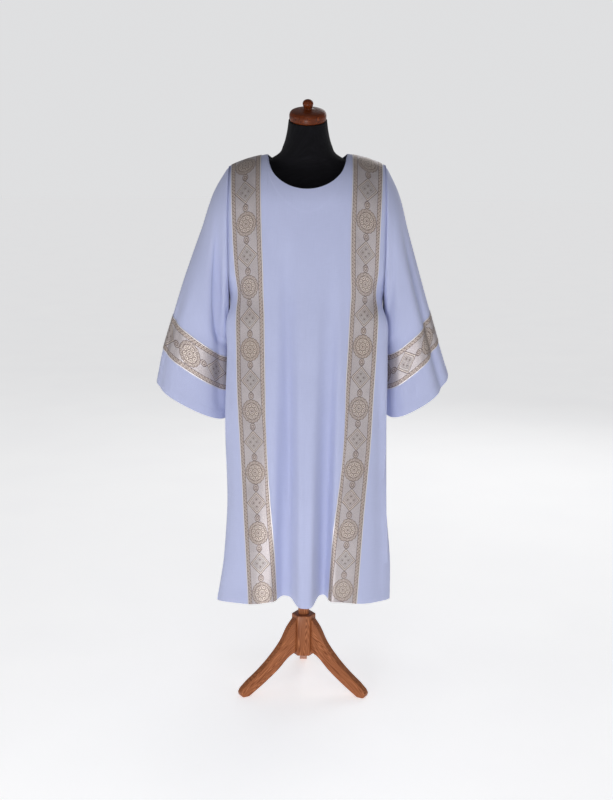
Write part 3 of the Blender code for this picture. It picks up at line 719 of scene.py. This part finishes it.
def sleeve_grid(side, stations):
    """The outside of a sleeve: rows from the armhole to the cuff, columns round it from the ridge."""
    table = SLEEVES[side]
    turn = np.linspace(0, 2 * math.pi, SLEEVE_AROUND, endpoint=False)
    power = 2 / SLEEVE_SQUARENESS
    along, across = signed_power(np.cos(turn), power), signed_power(np.sin(turn), power)
    front = np.clip(np.sin(turn), 0, 1)
    ridge_height = shoulder_height(np.array([side * ARMHOLE_X]))[0]
    middle, half = (ridge_height + UNDERARM_HEIGHT) / 2, (ridge_height - UNDERARM_HEIGHT) / 2
    first_z = (table[0, 2] + table[0, 4]) / 2 + (table[0, 2] - table[0, 4]) / 2 * along
    armhole_z = middle + half * np.cos(turn)
    armhole_y = np.where(across > 0, -armhole_depth(armhole_z, FRONT), armhole_depth(armhole_z, BACK))
    start = ARMHOLE_X + SEAM_GAP / 2
    grid = []
    for station in stations:
        values = [read_off(table[:, 0], table[:, k], station) for k in range(1, table.shape[1])]
        outer_x, outer_z, inner_x, inner_z, inner_y, front_depth, back_depth, sag = values
        x = (outer_x + inner_x) / 2 + (outer_x - inner_x) / 2 * along
        z = (outer_z + inner_z) / 2 + (outer_z - inner_z) / 2 * along
        z = z - sag * across * np.where(across > 0, 1.0, 0.4)
        y = inner_y * (1 - along) / 2 - np.where(across > 0, front_depth, back_depth) * across
        blend = ease(station / ARMHOLE_BLEND)
        z = z + (armhole_z - first_z) * (1 - blend)
        y = armhole_y + (y - armhole_y) * blend
        y = y - sleeve_fold(x, z, front, side) * blend**0.5
        x = np.maximum(x, start) if station else np.full_like(x, start)
        grid.append(np.stack([side * x, y, z], axis=1))
    return np.array(grid)


def sleeve_normals(grid):
    normals = grid_normals(grid, wrap=True)
    centre = grid.mean(axis=1, keepdims=True)
    if ((grid - centre) * normals).sum() < 0:
        normals = -normals
    normals[0, :, 0] = 0
    return unit(normals)


def sleeve_creases(stations, side):
    """How far the creases carry the cloth out, on the sleeve's whole grid."""
    turn = np.linspace(0, 360, SLEEVE_AROUND, endpoint=False)[None, :]
    rise = np.zeros((len(stations), SLEEVE_AROUND))
    for first, last, first_turn, last_turn, width, height in SLEEVE_CREASES[side]:
        t = ((stations - first) / (last - first))[:, None]
        line = first_turn + (last_turn - first_turn) * t
        away = (turn - line + 180) % 360 - 180
        rise += height * ease(2.5 * t) * ease(4 * (CREASE_END - t)) * bell(away / width)
    return rise


def make_sleeve(label, side, cloth, galloon):
    stations = sleeve_stations()
    grid = sleeve_grid(side, stations)
    normals = sleeve_normals(grid)
    down = arc_lengths(grid, 0)
    rise = sleeve_creases(stations, side)
    rise += HEM_STEP * ease((HEM_TURN - (down[-1] - down)) / STEP_WIDTH + 0.5)
    above = ease((grid[0, :, 2] - UNDERARM_HEIGHT) / SEAM_DIP_FADE)
    rise -= SEAM_DIP * above * bell(down / SEAM_DIP_WIDTH) * (down > 0)
    grid = grid + normals * rise[:, :, None]
    grid[:, :, 0] = side * np.maximum(side * grid[:, :, 0], ARMHOLE_X + SEAM_GAP / 2)
    normals = sleeve_normals(grid)
    closed = np.concatenate([grid, grid[:, :1]], axis=1)
    uv = np.stack([arc_lengths(closed, 1), arc_lengths(closed, 0)], axis=2)
    node = f"sleeve_{label}"
    piece = shell(f"cloth_{node}", grid, grid - normals * CLOTH, uv, cloth, [node], wrap=True)
    width, length, area = mean_size(grid, wrap=True)

    first, last = (int(np.argmin(np.abs(stations - edge))) for edge in GALLOON_STATIONS)
    part = slice(first, last + 1)
    inside = grid[part] + normals[part] * SEAM_GAP
    outside = inside + normals[part] * GALLOON
    ring = closed[part]
    round_it = arc_lengths(ring, 1)
    round_it = round_it / round_it[:, -1:] * round_it[:, -1].mean()
    repeats = max(1, round(round_it[0, -1] / REPEAT))
    round_it = round_it * (repeats * REPEAT / round_it[0, -1]) + SLEEVE_FIGURE_SHIFT[side]
    over = arc_lengths(ring, 0)
    over = (over / over[-1:] - 0.5) * CLAVUS_WIDTH
    uv = np.stack([over, round_it], axis=2)
    node = f"sleeve_galloon_{label}"
    piece = shell(f"trim_{node}", outside, inside, uv, galloon, [node], wrap=True)
    width, length, area = mean_size(outside, wrap=True)


# ---------------------------------------------------------------- dress form


def make_torso(jersey):
    """The padded torso and neck, through the part's own rings."""
    turn = np.linspace(0, 2 * math.pi, TORSO_AROUND, endpoint=False)
    power = 2 / TORSO_SQUARENESS
    across, forward = signed_power(np.cos(turn), power), signed_power(np.sin(turn), power)
    heights = TORSO[:, 0]
    levels = np.unique(np.concatenate([np.linspace(heights[0], heights[-1], TORSO_LEVELS), heights]))
    rings = []
    for height in levels:
        half_width, front, back, tilt = (read_off(heights, TORSO[:, k], height) for k in range(1, 5))
        y = np.where(forward < 0, front, back) * forward
        z = height + y * math.tan(math.radians(tilt))
        rings.append(np.stack([half_width * across, y, z], axis=1))
    rings = np.array(rings)
    # Both ends close in to a point through a few shrinking rings.
    caps = []
    for ring, shares in ((rings[0], (0.0, 0.5, 0.97)), (rings[-1], (0.97, 0.5, 0.0))):
        centre = ring.mean(axis=0)
        caps.append(np.array([centre + (ring - centre) * share for share in shares]))
    rings = np.concatenate([caps[0], rings, caps[1]])
    rows, columns = rings.shape[:2]
    closed = np.concatenate([rings, rings[:, :1]], axis=1)
    uv = np.stack([arc_lengths(closed, 1), arc_lengths(closed, 0)], axis=2)
    faces, places = cells(rows, columns, columns), cells(rows, columns, columns + 1)
    mesh = fill_mesh("torso", rings.reshape(-1, 3), faces, uv, places)
    bm = bmesh.new()
    bm.from_mesh(mesh)
    bmesh.ops.remove_doubles(bm, verts=bm.verts, dist=1e-6)
    bm.to_mesh(mesh)
    bm.free()
    return finish_mesh("torso", mesh, jersey, ["form_torso"])


def make_cap(wood):
    """The cap and finial, turned about their own axis and seated on the tilted top of the neck."""
    radii, heights = np.array(CAP_PROFILE).T
    travel = np.concatenate([[0], np.cumsum(np.hypot(np.diff(radii), np.diff(heights)))])
    fine = np.unique(np.concatenate([np.linspace(0, travel[-1], CAP_POINTS), travel]))
    radius, rise = read_off(travel, radii, fine), read_off(travel, heights, fine)
    radius = np.clip(radius, 0, radii.max())
    radius[[0, -1]] = 0
    rise = np.clip(rise, 0, heights.max())
    bm = bmesh.new()
    profile = [bm.verts.new((r, 0, z)) for r, z in zip(radius, rise)]
    edges = [bm.edges.new(pair) for pair in zip(profile, profile[1:])]
    bmesh.ops.spin(
        bm,
        geom=profile + edges,
        axis=(0, 0, 1),
        cent=(0, 0, 0),
        steps=CAP_AROUND,
        angle=2 * math.pi,
        use_duplicate=False,
    )
    bmesh.ops.remove_doubles(bm, verts=bm.verts, dist=1e-6)
    height, _, front, back, tilt = TORSO[-1]
    slope, middle = math.radians(tilt), (back - front) / 2
    seat = Vector((0, middle, height + middle * math.tan(slope)))
    lift = Vector((0, -math.sin(slope), math.cos(slope))) * SEAM_GAP
    place = Vector(AXIS) + seat + lift
    mesh = bpy.data.meshes.new("neck_cap")
    bm.to_mesh(mesh)
    bm.free()
    mesh.transform(Matrix.Translation(place) @ Matrix.Rotation(slope, 4, "X"))
    return finish_mesh("neck_cap", mesh, wood, ["form_neck_cap"], sharp=55)


def bevelled(name, outline, low, high, turned, wood, node, bevel):
    """A plank or prism with eased edges. outline is in its own plane, and turned places it."""
    bm = bmesh.new()
    base = [bm.verts.new((x, y, low)) for x, y in outline]
    face = bm.faces.new(base)
    pushed = bmesh.ops.extrude_face_region(bm, geom=[face])["geom"]
    for vertex in (item for item in pushed if isinstance(item, bmesh.types.BMVert)):
        vertex.co.z = high
    bmesh.ops.recalc_face_normals(bm, faces=bm.faces)
    sharp = [edge for edge in bm.edges if edge.calc_face_angle(0) > math.radians(25)]
    bmesh.ops.bevel(
        bm,
        geom=sharp,
        offset=bevel,
        offset_type="OFFSET",
        segments=3,
        profile=0.5,
        affect="EDGES",
        clamp_overlap=True,
    )
    mesh = bpy.data.meshes.new(name)
    bm.to_mesh(mesh)
    bm.free()
    mesh.transform(turned)
    return finish_mesh(name, mesh, wood, [node])


def polygon(sides, radius):
    angles = [2 * math.pi * k / sides for k in range(sides)]
    return [(radius * math.cos(a), radius * math.sin(a)) for a in angles]


def smooth_outline(points, first, last, cuts):
    """The outline with the stretch from first to last drawn as a smooth curve through its points."""
    stretch = np.array(points[first : last + 1])
    travel = np.concatenate([[0], np.cumsum(np.linalg.norm(np.diff(stretch, axis=0), axis=1))])
    at = np.linspace(0, travel[-1], cuts * (len(stretch) - 1) + 1)
    curve = np.stack([read_off(travel, stretch[:, k], at) for k in range(2)], axis=1)
    return points[:first] + [tuple(p) for p in curve] + points[last + 1 :]


def make_stand(wood, wood_lengthwise):
    place = Matrix.Translation(Vector(AXIS))
    hub_low, hub_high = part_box("form_hub")
    hexagon = polygon(6, HUB_FLAT / math.cos(math.pi / 6))
    bevelled("hub", hexagon, hub_low.z, hub_high.z, place, wood, "form_hub", 0.002)

    circle = polygon(48, (pole_high.x - pole_low.x) / 2)
    bevelled("pole", circle, pole_low.z, pole_high.z, place, wood, "form_pole", 0.001)

    outline = [(max(r, HUB_FLAT + SEAM_GAP), z) for r, z in LEG_OUTLINE]
    outline = smooth_outline(outline, 8, 13, 4)
    outline = smooth_outline(outline, 2, 7, 4)
    upright = Matrix.Rotation(math.pi / 2, 4, "X")
    half = LEG_THICKNESS / 2
    for label, angle in LEG_ANGLES.items():
        turned = place @ Matrix.Rotation(math.radians(angle), 4, "Z") @ upright
        node = f"form_leg_{label}"
        bevelled(f"leg_{label}", outline, -half, half, turned, wood_lengthwise[label], node, 0.0018)


# ---------------------------------------------------------------- materials


class Field:
    """A number on the surface, worked out by a material's math nodes, so that patterns read as formulas."""

    def __init__(self, tree, socket):
        self.tree = tree
        self.socket = socket

    def _math(self, operation, *others):
        node = self.tree.nodes.new("ShaderNodeMath")
        node.operation = operation
        for socket, value in zip(node.inputs, (self, *others)):
            plug(self.tree, value, socket)
        return Field(self.tree, node.outputs[0])

    def __add__(self, other):
        return self._math("ADD", other)

    def __sub__(self, other):
        return self._math("SUBTRACT", other)

    def __mul__(self, other):
        return self._math("MULTIPLY", other)

    def __truediv__(self, other):
        return self._math("DIVIDE", other)

    def __abs__(self):
        return self._math("ABSOLUTE")

    def __rsub__(self, other):
        return self * -1 + other

    def modulo(self, other):
        return self._math("FLOORED_MODULO", other)

    def sine(self):
        return self._math("SINE")

    def wave(self, pitch):
        """A sine that repeats after each pitch."""
        return (self * (2 * math.pi / pitch)).sine()

    def root(self):
        return self._math("SQRT")

    def power(self, other):
        return self._math("POWER", other)

    def larger(self, other):
        return self._math("MAXIMUM", other)

    def angle(self, other):
        return self._math("ARCTAN2", other)

    def between(self, low, high):
        """0 below low, 1 above high, and smooth between them. low may be the larger."""
        node = self.tree.nodes.new("ShaderNodeMapRange")
        node.interpolation_type = "SMOOTHSTEP"
        turned = low > high
        plug(self.tree, self, node.inputs["Value"])
        node.inputs["From Min"].default_value = min(low, high)
        node.inputs["From Max"].default_value = max(low, high)
        made = Field(self.tree, node.outputs["Result"])
        return 1 - made if turned else made

    def line(self, at, half, soft):
        """1 where the field is within half of at, fading over soft."""
        return abs(self - at).between(half + soft, half)


def plug(tree, value, socket):
    if isinstance(value, Field):
        tree.links.new(value.socket, socket)
    else:
        socket.default_value = value


def new_material(name):
    material = bpy.data.materials.new(name)
    material.use_nodes = True
    tree = material.node_tree
    return material, tree, tree.nodes["Principled BSDF"]


def settle(shader, roughness, specular, kind=None, weight=0.0, spread=0.0):
    """What is the same all over a surface. kind names its extra layer: sheen or coat."""
    shader.inputs["Roughness"].default_value = roughness
    shader.inputs["Specular IOR Level"].default_value = specular
    if kind:
        shader.inputs[f"{kind} Weight"].default_value = weight
        shader.inputs[f"{kind} Roughness"].default_value = spread


def surface_uv(tree):
    """Distances along the cloth in metres: (across, along)."""
    node = tree.nodes.new("ShaderNodeUVMap")
    node.uv_map = "metres"
    split = tree.nodes.new("ShaderNodeSeparateXYZ")
    tree.links.new(node.outputs["UV"], split.inputs["Vector"])
    return Field(tree, split.outputs["X"]), Field(tree, split.outputs["Y"]), node.outputs["UV"]


def noise(tree, vector, scale, detail=3.0, roughness=0.5):
    node = tree.nodes.new("ShaderNodeTexNoise")
    tree.links.new(vector, node.inputs["Vector"])
    node.inputs["Scale"].default_value = scale
    node.inputs["Detail"].default_value = detail
    node.inputs["Roughness"].default_value = roughness
    return Field(tree, node.outputs["Fac"])


def stretched(tree, vector, scale):
    node = tree.nodes.new("ShaderNodeMapping")
    tree.links.new(vector, node.inputs["Vector"])
    node.inputs["Scale"].default_value = scale
    return node.outputs["Vector"]


def mix(tree, share, first, second):
    """A colour that goes from first to second. Either may be a tuple or a socket."""
    node = tree.nodes.new("ShaderNodeMix")
    node.data_type = "RGBA"
    plug(tree, share, node.inputs["Factor"])
    for value, socket in ((first, node.inputs["A"]), (second, node.inputs["B"])):
        if isinstance(value, tuple):
            socket.default_value = (*value, 1.0)
        else:
            tree.links.new(value, socket)
    return node.outputs["Result"]


def bump(tree, shader, height, distance, strength=1.0):
    node = tree.nodes.new("ShaderNodeBump")
    plug(tree, height, node.inputs["Height"])
    node.inputs["Distance"].default_value = distance
    node.inputs["Strength"].default_value = strength
    tree.links.new(node.outputs["Normal"], shader.inputs["Normal"])


CLOTH_LIGHT = (0.510, 0.548, 0.780)
CLOTH_DEEP = (0.475, 0.512, 0.738)
THREAD = 0.00042  # spacing of the cloth's threads


def make_cloth_material():
    """Fine plain weave, cool white, with the faint unevenness of a light wool and polyester cloth."""
    material, tree, shader = new_material("white_cloth")
    across, along, uv = surface_uv(tree)
    weave = along.wave(THREAD) * across.wave(THREAD)
    slub = noise(tree, stretched(tree, uv, (420.0, 26.0, 1.0)), 1.0, 2.0)
    slub_across = noise(tree, stretched(tree, uv, (26.0, 420.0, 1.0)), 1.0, 2.0)
    cloud = noise(tree, uv, 7.0, 4.0)
    tone = (slub + slub_across) * 0.30 + cloud * 0.40
    colour = mix(tree, tone.between(0.30, 0.70), CLOTH_DEEP, CLOTH_LIGHT)
    tree.links.new(colour, shader.inputs["Base Color"])
    settle(shader, 0.78, 0.35, "Sheen", 0.22, 0.55)
    crumple = noise(tree, stretched(tree, uv, (9.0, 3.2, 1.0)), 1.0, 3.0, 0.45)
    height = weave * 0.05 + (slub + slub_across) * 0.10 + crumple * 3.0
    bump(tree, shader, height, 0.0010, 0.6)
    return material


GROUND = (0.440, 0.400, 0.420)
GROUND_BRIGHT = (0.560, 0.515, 0.530)
GOLD = (0.570, 0.450, 0.355)
GOLD_GREEN = (0.470, 0.445, 0.395)
LINE_DARK = (0.105, 0.068, 0.064)
PALE = (0.740, 0.650, 0.570)
PIPING = (0.700, 0.660, 0.665)

# Sizes of the galloon's pattern, across from its middle line and along from each figure's own middle
ROPE_AT, ROPE_HALF, ROPE_LAY = 0.0347, 0.0040, 0.0098
BORDER_LINES = (0.0300, 0.0394)
PIPING_AT = 0.0400
LOZENGE_WIDE, LOZENGE_TALL = 0.0284, 0.0312
LINK_AT, LINK_WIDE, LINK_TALL = 0.0418, 0.0078, 0.0100
ROSETTE, ROSETTE_TALL = 0.0291, 1.12


def rope(across, along):
    """A twisted cord inside each border: where it lies, its strands, and the thin lines beside it."""
    out = abs(across)
    inside = out.line(ROPE_AT, ROPE_HALF, 0.0005)
    bulge = (out - ROPE_AT) / ROPE_HALF
    slant = (along - bulge * (0.0058 - abs(bulge) * 0.0022)).modulo(ROPE_LAY) / ROPE_LAY
    gap = abs(slant - 0.5).between(0.31, 0.43)
    heart = abs(slant - 0.5).between(0.16, 0.05) * abs(bulge).between(0.55, 0.30)
    inner, outer = (out.line(at, 0.0006, 0.0004) for at in BORDER_LINES)
    return inside, gap.larger(heart * 0.8) * inside, inner.larger(outer)


def near(across, along, x, y):
    """Distance to a point of the figure."""
    return ((across - x).power(2.0) + (along - y).power(2.0)).root()


def lozenge(across, out, away):
    """Double outline, a lattice inside it, and four ringed dots in a cross. The sides cross at the tips."""
    diamond = out / LOZENGE_WIDE + away / LOZENGE_TALL
    lines = diamond.line(1.0, 0.034, 0.022).larger(diamond.line(0.82, 0.022, 0.022))
    lines = lines.larger(diamond.line(0.60, 0.016, 0.020) * 0.6)
    rising, falling = across / 0.0034 + away / 0.0041, across / 0.0034 - away / 0.0041
    lattice = abs(rising.modulo(1.0) - 0.5).between(0.14, 0.02)
    lattice = lattice.larger(abs(falling.modulo(1.0) - 0.5).between(0.14, 0.02))
    lattice = lattice * diamond.between(0.58, 0.55) * 0.40
    dots = None
    for x, y in ((0.0088, 0.0), (0.0, 0.0100)):
        distance = near(out, away, x, y)
        ring = distance.between(0.0027, 0.0018).larger(distance.line(0.0043, 0.0002, 0.0004) * 0.6)
        dots = ring if dots is None else dots.larger(ring)
    # Past the tips the sides run on outwards as far as the links.
    beyond = (away - LOZENGE_TALL) / LOZENGE_TALL
    side = out / LOZENGE_WIDE - beyond
    crossing = side.line(0.0, 0.034, 0.025) * away.between(LOZENGE_TALL - 0.001, LOZENGE_TALL)
    crossing = crossing * away.between(LINK_AT - 0.001, LINK_AT - 0.003)
    pale = diamond.line(0.91, 0.035, 0.02)
    return lines.larger(lattice).larger(dots).larger(crossing), diamond.between(1.02, 0.98), pale


def link(out, away):
    """The oval between a lozenge and a rosette, with a bead in it."""
    oval = ((out / LINK_WIDE).power(2.0) + ((away - LINK_AT) / LINK_TALL).power(2.0)).root()
    lines = oval.line(0.94, 0.08, 0.06).larger(oval.line(0.42, 0.08, 0.07))
    return lines, oval.between(1.0, 0.9)


def rosette(across, place):
    """A roundel: scalloped rim, a ring of pearls, eight curls with their eyes, and a beaded heart."""
    upright = place / ROSETTE_TALL
    radius = (across.power(2.0) + upright.power(2.0)).root()
    around = across.angle(upright)
    rim = (radius + (around * 16.0).sine() * 0.0008).line(ROSETTE - 0.0012, 0.0005, 0.0005)
    rings = rim.larger(radius.line(0.0206, 0.0004, 0.0005)).larger(radius.line(0.0088, 0.0004, 0.0005))

    def circled(count, at):
        """Distance to the nearest of some places spread evenly round a ring."""
        sector = abs((around * (count / (2 * math.pi))).modulo(1.0) - 0.5) * radius * (2 * math.pi / count)
        return near(sector, radius, 0.0, at)

    pearl = circled(16, 0.0240)
    curl = circled(8, 0.0148)
    pearls = pearl.line(0.0029, 0.0004, 0.0005).larger(pearl.between(0.0013, 0.0007))
    curls = curl.line(0.0046, 0.0004, 0.0005).larger(curl.between(0.0020, 0.0012))
    heart = radius.between(0.0028, 0.0020).larger(radius.line(0.0058, 0.0004, 0.0004))
    lines = rings.larger(pearls).larger(curls).larger(heart)
    pale = pearl.line(0.0020, 0.0006, 0.0004).larger(curl.line(0.0033, 0.0009, 0.0005))
    pale = pale.larger(radius.line(0.0072, 0.0009, 0.0005))
    return lines, radius.between(ROSETTE, ROSETTE - 0.0010), pale


def figures(across, along):
    """The field's figures in turn, with the shares of the surface that they draw dark and weave gold."""
    place = along.modulo(REPEAT) - REPEAT / 2
    # place is 0 at the rosette's middle, and half a repeat away at the lozenge's.
    away = REPEAT / 2 - abs(place)
    out = abs(across)
    flower, round_gold, flower_pale = rosette(across, place)
    diamond, square_gold, diamond_pale = lozenge(across, out, away)
    oval, oval_gold = link(out, away)
    around_flower = 1 - round_gold
    drawn = flower.larger(diamond * around_flower).larger(oval * around_flower)
    pale = flower_pale.larger(diamond_pale * around_flower)
    return drawn, round_gold.larger(oval_gold * 0.8), square_gold, pale


def make_galloon_material():
    """Jacquard ribbon: figures and rope borders in gold and brown on a silver ground."""
    material, tree, shader = new_material("figured_galloon")
    across, along, uv = surface_uv(tree)
    inside_rope, strands, lines = rope(across, along)
    drawn, gold, green, pale = figures(across, along)
    out = abs(across)
    field = out.between(FIELD_HALF, FIELD_HALF - 0.0006)
    drawn, gold, green = drawn * field, gold * field, green * field
    weft = along.wave(0.00085) * 0.5 + 0.5
    sprig = (across.wave(0.0052) * along.wave(0.0070)).between(0.45, 0.75)
    patches = noise(tree, uv, 16.0, 3.0)
    drift = noise(tree, uv, 5.0, 2.0)
    fray = noise(tree, stretched(tree, uv, (900.0, 400.0, 1.0)), 1.0, 2.0).between(0.30, 0.65)
    beads = along.wave(0.0040) * across.wave(0.0034) * 0.5 + 0.5

    colour = mix(tree, weft * 0.25 + patches.between(0.3, 0.7) * 0.75, GROUND, GROUND_BRIGHT)
    colour = mix(tree, gold * (beads * 0.20 + drift.between(0.3, 0.7) * 0.35 + 0.25), colour, GOLD)
    greened = mix(tree, drift.between(0.42, 0.58), GOLD, GOLD_GREEN)
    colour = mix(tree, green * (beads * 0.25 + 0.15), colour, greened)
    colour = mix(tree, pale * field * 0.80, colour, PALE)
    colour = mix(tree, sprig * field * fray * 0.30, colour, LINE_DARK)
    colour = mix(tree, inside_rope * 0.55, colour, GOLD)
    flecks = noise(tree, uv, 560.0, 2.0)
    colour = mix(tree, flecks.between(0.52, 0.62) * 0.34, colour, PALE)
    colour = mix(tree, flecks.between(0.46, 0.36) * 0.34, colour, LINE_DARK)
    threads = drawn.larger(lines)
    colour = mix(tree, threads * (fray * 0.38 + 0.54), colour, LINE_DARK)
    colour = mix(tree, strands * (fray * 0.35 + 0.48), colour, LINE_DARK)
    colour = mix(tree, out.between(PIPING_AT, PIPING_AT + 0.0005), colour, PIPING)
    tree.links.new(colour, shader.inputs["Base Color"])
    plug(tree, patches * 0.20 + 0.32, shader.inputs["Roughness"])
    plug(tree, gold * 0.10 + 0.40, shader.inputs["Metallic"])
    shader.inputs["Specular IOR Level"].default_value = 0.45
    relief = threads * 0.4 + strands * 0.6 + weft * 0.08 + fray * 0.10 + beads * gold * 0.25
    bump(tree, shader, relief, 0.0008, 0.6)
    return material


def make_jersey_material():
    """Black knit, with its fine ribs along the form."""
    material, tree, shader = new_material("black_jersey")
    across, along, uv = surface_uv(tree)
    ribs = across.wave(0.0011) * 0.5 + 0.5
    stitches = along.wave(0.0009) * 0.5 + 0.5
    dust = noise(tree, uv, 60.0, 4.0)
    colour = mix(tree, dust.between(0.35, 0.75), (0.0026, 0.0024, 0.0040), (0.0058, 0.0055, 0.0082))
    tree.links.new(colour, shader.inputs["Base Color"])
    settle(shader, 0.86, 0.18, "Sheen", 0.05, 0.5)
    bump(tree, shader, ribs * 0.5 + stitches * 0.3, 0.0004, 0.6)
    return material


CAP_WOOD = ((0.042, 0.0055, 0.0014), (0.235, 0.047, 0.0070))
# The legs and hub take a lighter copy of the cap's wood. The extra lightness is painted light, standing in
# for the stronger light near the floor.
LEG_WOOD_PAINTED_LIGHTER = ((0.220, 0.062, 0.020), (0.520, 0.190, 0.075))
RING_WIDTH = 0.0026


def make_wood_material(name, colours, along, up=(0, 0, 1)):
    """Red-brown varnish over grain that runs along the given direction."""
    material, tree, shader = new_material(name)
    place = tree.nodes.new("ShaderNodeTexCoord").outputs["Object"]
    along, up = Vector(along).normalized(), Vector(up)
    third = along.cross(up).normalized()
    second = third.cross(along).normalized()
    turned = []
    for direction, scale in ((along, 4.0), (second, 60.0), (third, 60.0)):
        node = tree.nodes.new("ShaderNodeVectorMath")
        node.operation = "DOT_PRODUCT"
        tree.links.new(place, node.inputs[0])
        node.inputs[1].default_value = direction * scale
        turned.append(node.outputs["Value"])
    joined = tree.nodes.new("ShaderNodeCombineXYZ")
    for value, socket in zip(turned, joined.inputs):
        tree.links.new(value, socket)
    wander = noise(tree, joined.outputs["Vector"], 0.35, 3.0)
    rings = (Field(tree, turned[1]) + wander * 9.0).wave(60.0 * RING_WIDTH) * 0.5 + 0.5
    fibre = noise(tree, stretched(tree, joined.outputs["Vector"], (4.0, 12.0, 12.0)), 1.0, 4.0)
    share = rings * 0.45 + fibre * 0.35 + wander * 0.35
    colour = mix(tree, share.between(0.25, 0.85), colours[1], colours[0])
    tree.links.new(colour, shader.inputs["Base Color"])
    settle(shader, 0.42, 0.12, "Coat", 0.20, 0.22)
    bump(tree, shader, fibre, 0.0002, 0.4)
    return material


# ---------------------------------------------------------------- stage


FLOOR_RADIUS = 40.0
FOCAL_LENGTH = 58.74
CAMERA_HEIGHT, CAMERA_DISTANCE = 1.53, 3.6
CAMERA_TILT = math.radians(10.8)
CAMERA_ROLL = 0.0086
CAMERA_ASIDE = 0.0028
SKY = (0.97, 0.975, 1.0)
BACKDROP = (0.738, 0.741, 0.750)
LIGHTS = [
    # name, place, height of the point on the axis that it faces, diameter, power
    ("key", (-0.45, -2.00, 0.22), 0.45, 0.8, 16),
    ("left", (-2.6, -0.7, 1.5), 1.2, 1.2, 4.5),
    ("right", (2.4, -1.4, 0.8), 0.7, 1.2, 5),
    ("top", (0.1, -2.6, 3.2), 0.85, 1.4, 8),
    ("back", (1.2, 3.0, 2.6), 0.85, 2.4, 24),
]


def make_stage():
    """A plain pale floor that runs out of sight."""
    bm = bmesh.new()
    bmesh.ops.create_circle(bm, cap_ends=True, segments=96, radius=FLOOR_RADIUS)
    mesh = bpy.data.meshes.new("floor")
    bm.to_mesh(mesh)
    bm.free()
    floor = place_object("floor", mesh)
    material, tree, shader = new_material("pale_floor")
    place = tree.nodes.new("ShaderNodeTexCoord").outputs["Object"]
    colour = mix(tree, noise(tree, place, 3.0), (0.86, 0.86, 0.87), (0.90, 0.90, 0.90))
    tree.links.new(colour, shader.inputs["Base Color"])
    shader.inputs["Roughness"].default_value = 0.9
    tree.links.new(colour, shader.inputs["Emission Color"])
    shader.inputs["Emission Strength"].default_value = 0.62
    mesh.materials.append(material)


def area_light(name, place, target, size, power):
    light = bpy.data.lights.new(name, "AREA")
    light.shape = "DISK"
    light.size = size
    light.energy = power
    thing = place_object(name, light)
    thing.location = place
    thing.rotation_euler = (Vector(target) - Vector(place)).to_track_quat("-Z", "Y").to_euler()


def make_lights():
    """Soft discs low in front, at both sides, above and behind, in a pale studio that the camera sees."""
    for name, place, height, size, power in LIGHTS:
        area_light(name, place, (AXIS[0], AXIS[1], height), size, power)
    world = bpy.data.worlds.new("studio")
    bpy.context.scene.world = world
    world.use_nodes = True
    tree = world.node_tree
    background = tree.nodes["Background"]
    background.inputs["Color"].default_value = (*SKY, 1.0)
    background.inputs["Strength"].default_value = 0.22
    seen = tree.nodes.new("ShaderNodeBackground")
    seen.inputs["Color"].default_value = (*BACKDROP, 1.0)
    seen.inputs["Strength"].default_value = 1.0
    choice = tree.nodes.new("ShaderNodeMixShader")
    tree.links.new(tree.nodes.new("ShaderNodeLightPath").outputs["Is Camera Ray"], choice.inputs[0])
    tree.links.new(background.outputs[0], choice.inputs[1])
    tree.links.new(seen.outputs[0], choice.inputs[2])
    tree.links.new(choice.outputs[0], tree.nodes["World Output"].inputs["Surface"])


def make_camera():
    camera = bpy.data.cameras.new("camera")
    camera.lens = FOCAL_LENGTH
    camera.sensor_width = 36.0
    thing = place_object("camera", camera)
    place = Vector(AXIS) + Vector((CAMERA_ASIDE, -CAMERA_DISTANCE, CAMERA_HEIGHT))
    turned = Matrix.Rotation(math.pi / 2 - CAMERA_TILT, 4, "X") @ Matrix.Rotation(CAMERA_ROLL, 4, "Z")
    thing.matrix_world = Matrix.Translation(place) @ turned
    bpy.context.scene.camera = thing


# ---------------------------------------------------------------- the whole scene


def main():
    make_camera()
    make_stage()
    make_lights()
    bpy.context.scene.view_settings.view_transform = "Standard"

    cloth = make_cloth_material()
    galloon = make_galloon_material()
    panels = {face: panel(face) for face in (FRONT, BACK)}
    make_panels(panels, cloth)
    make_facing(panels, cloth)
    for label, side in SIDES.items():
        make_clavus(label, side, panels, galloon)
        make_sleeve(label, side, cloth, galloon)

    make_torso(make_jersey_material())
    cap_wood = make_wood_material("varnished_cap", CAP_WOOD, (0, 0, 1), up=(0, 1, 0))
    # The hub and legs get the lighter copy of the wood, with painted light in its colour.
    hub_wood = make_wood_material("varnished_hub", LEG_WOOD_PAINTED_LIGHTER, (0, 0, 1), up=(0, 1, 0))
    lengthwise = {}
    for label, angle in LEG_ANGLES.items():
        outward = (math.cos(math.radians(angle)), math.sin(math.radians(angle)), -0.75)
        lengthwise[label] = make_wood_material(f"varnished_{label}", LEG_WOOD_PAINTED_LIGHTER, outward)
    make_cap(cap_wood)
    make_stand(hub_wood, lengthwise)


main()
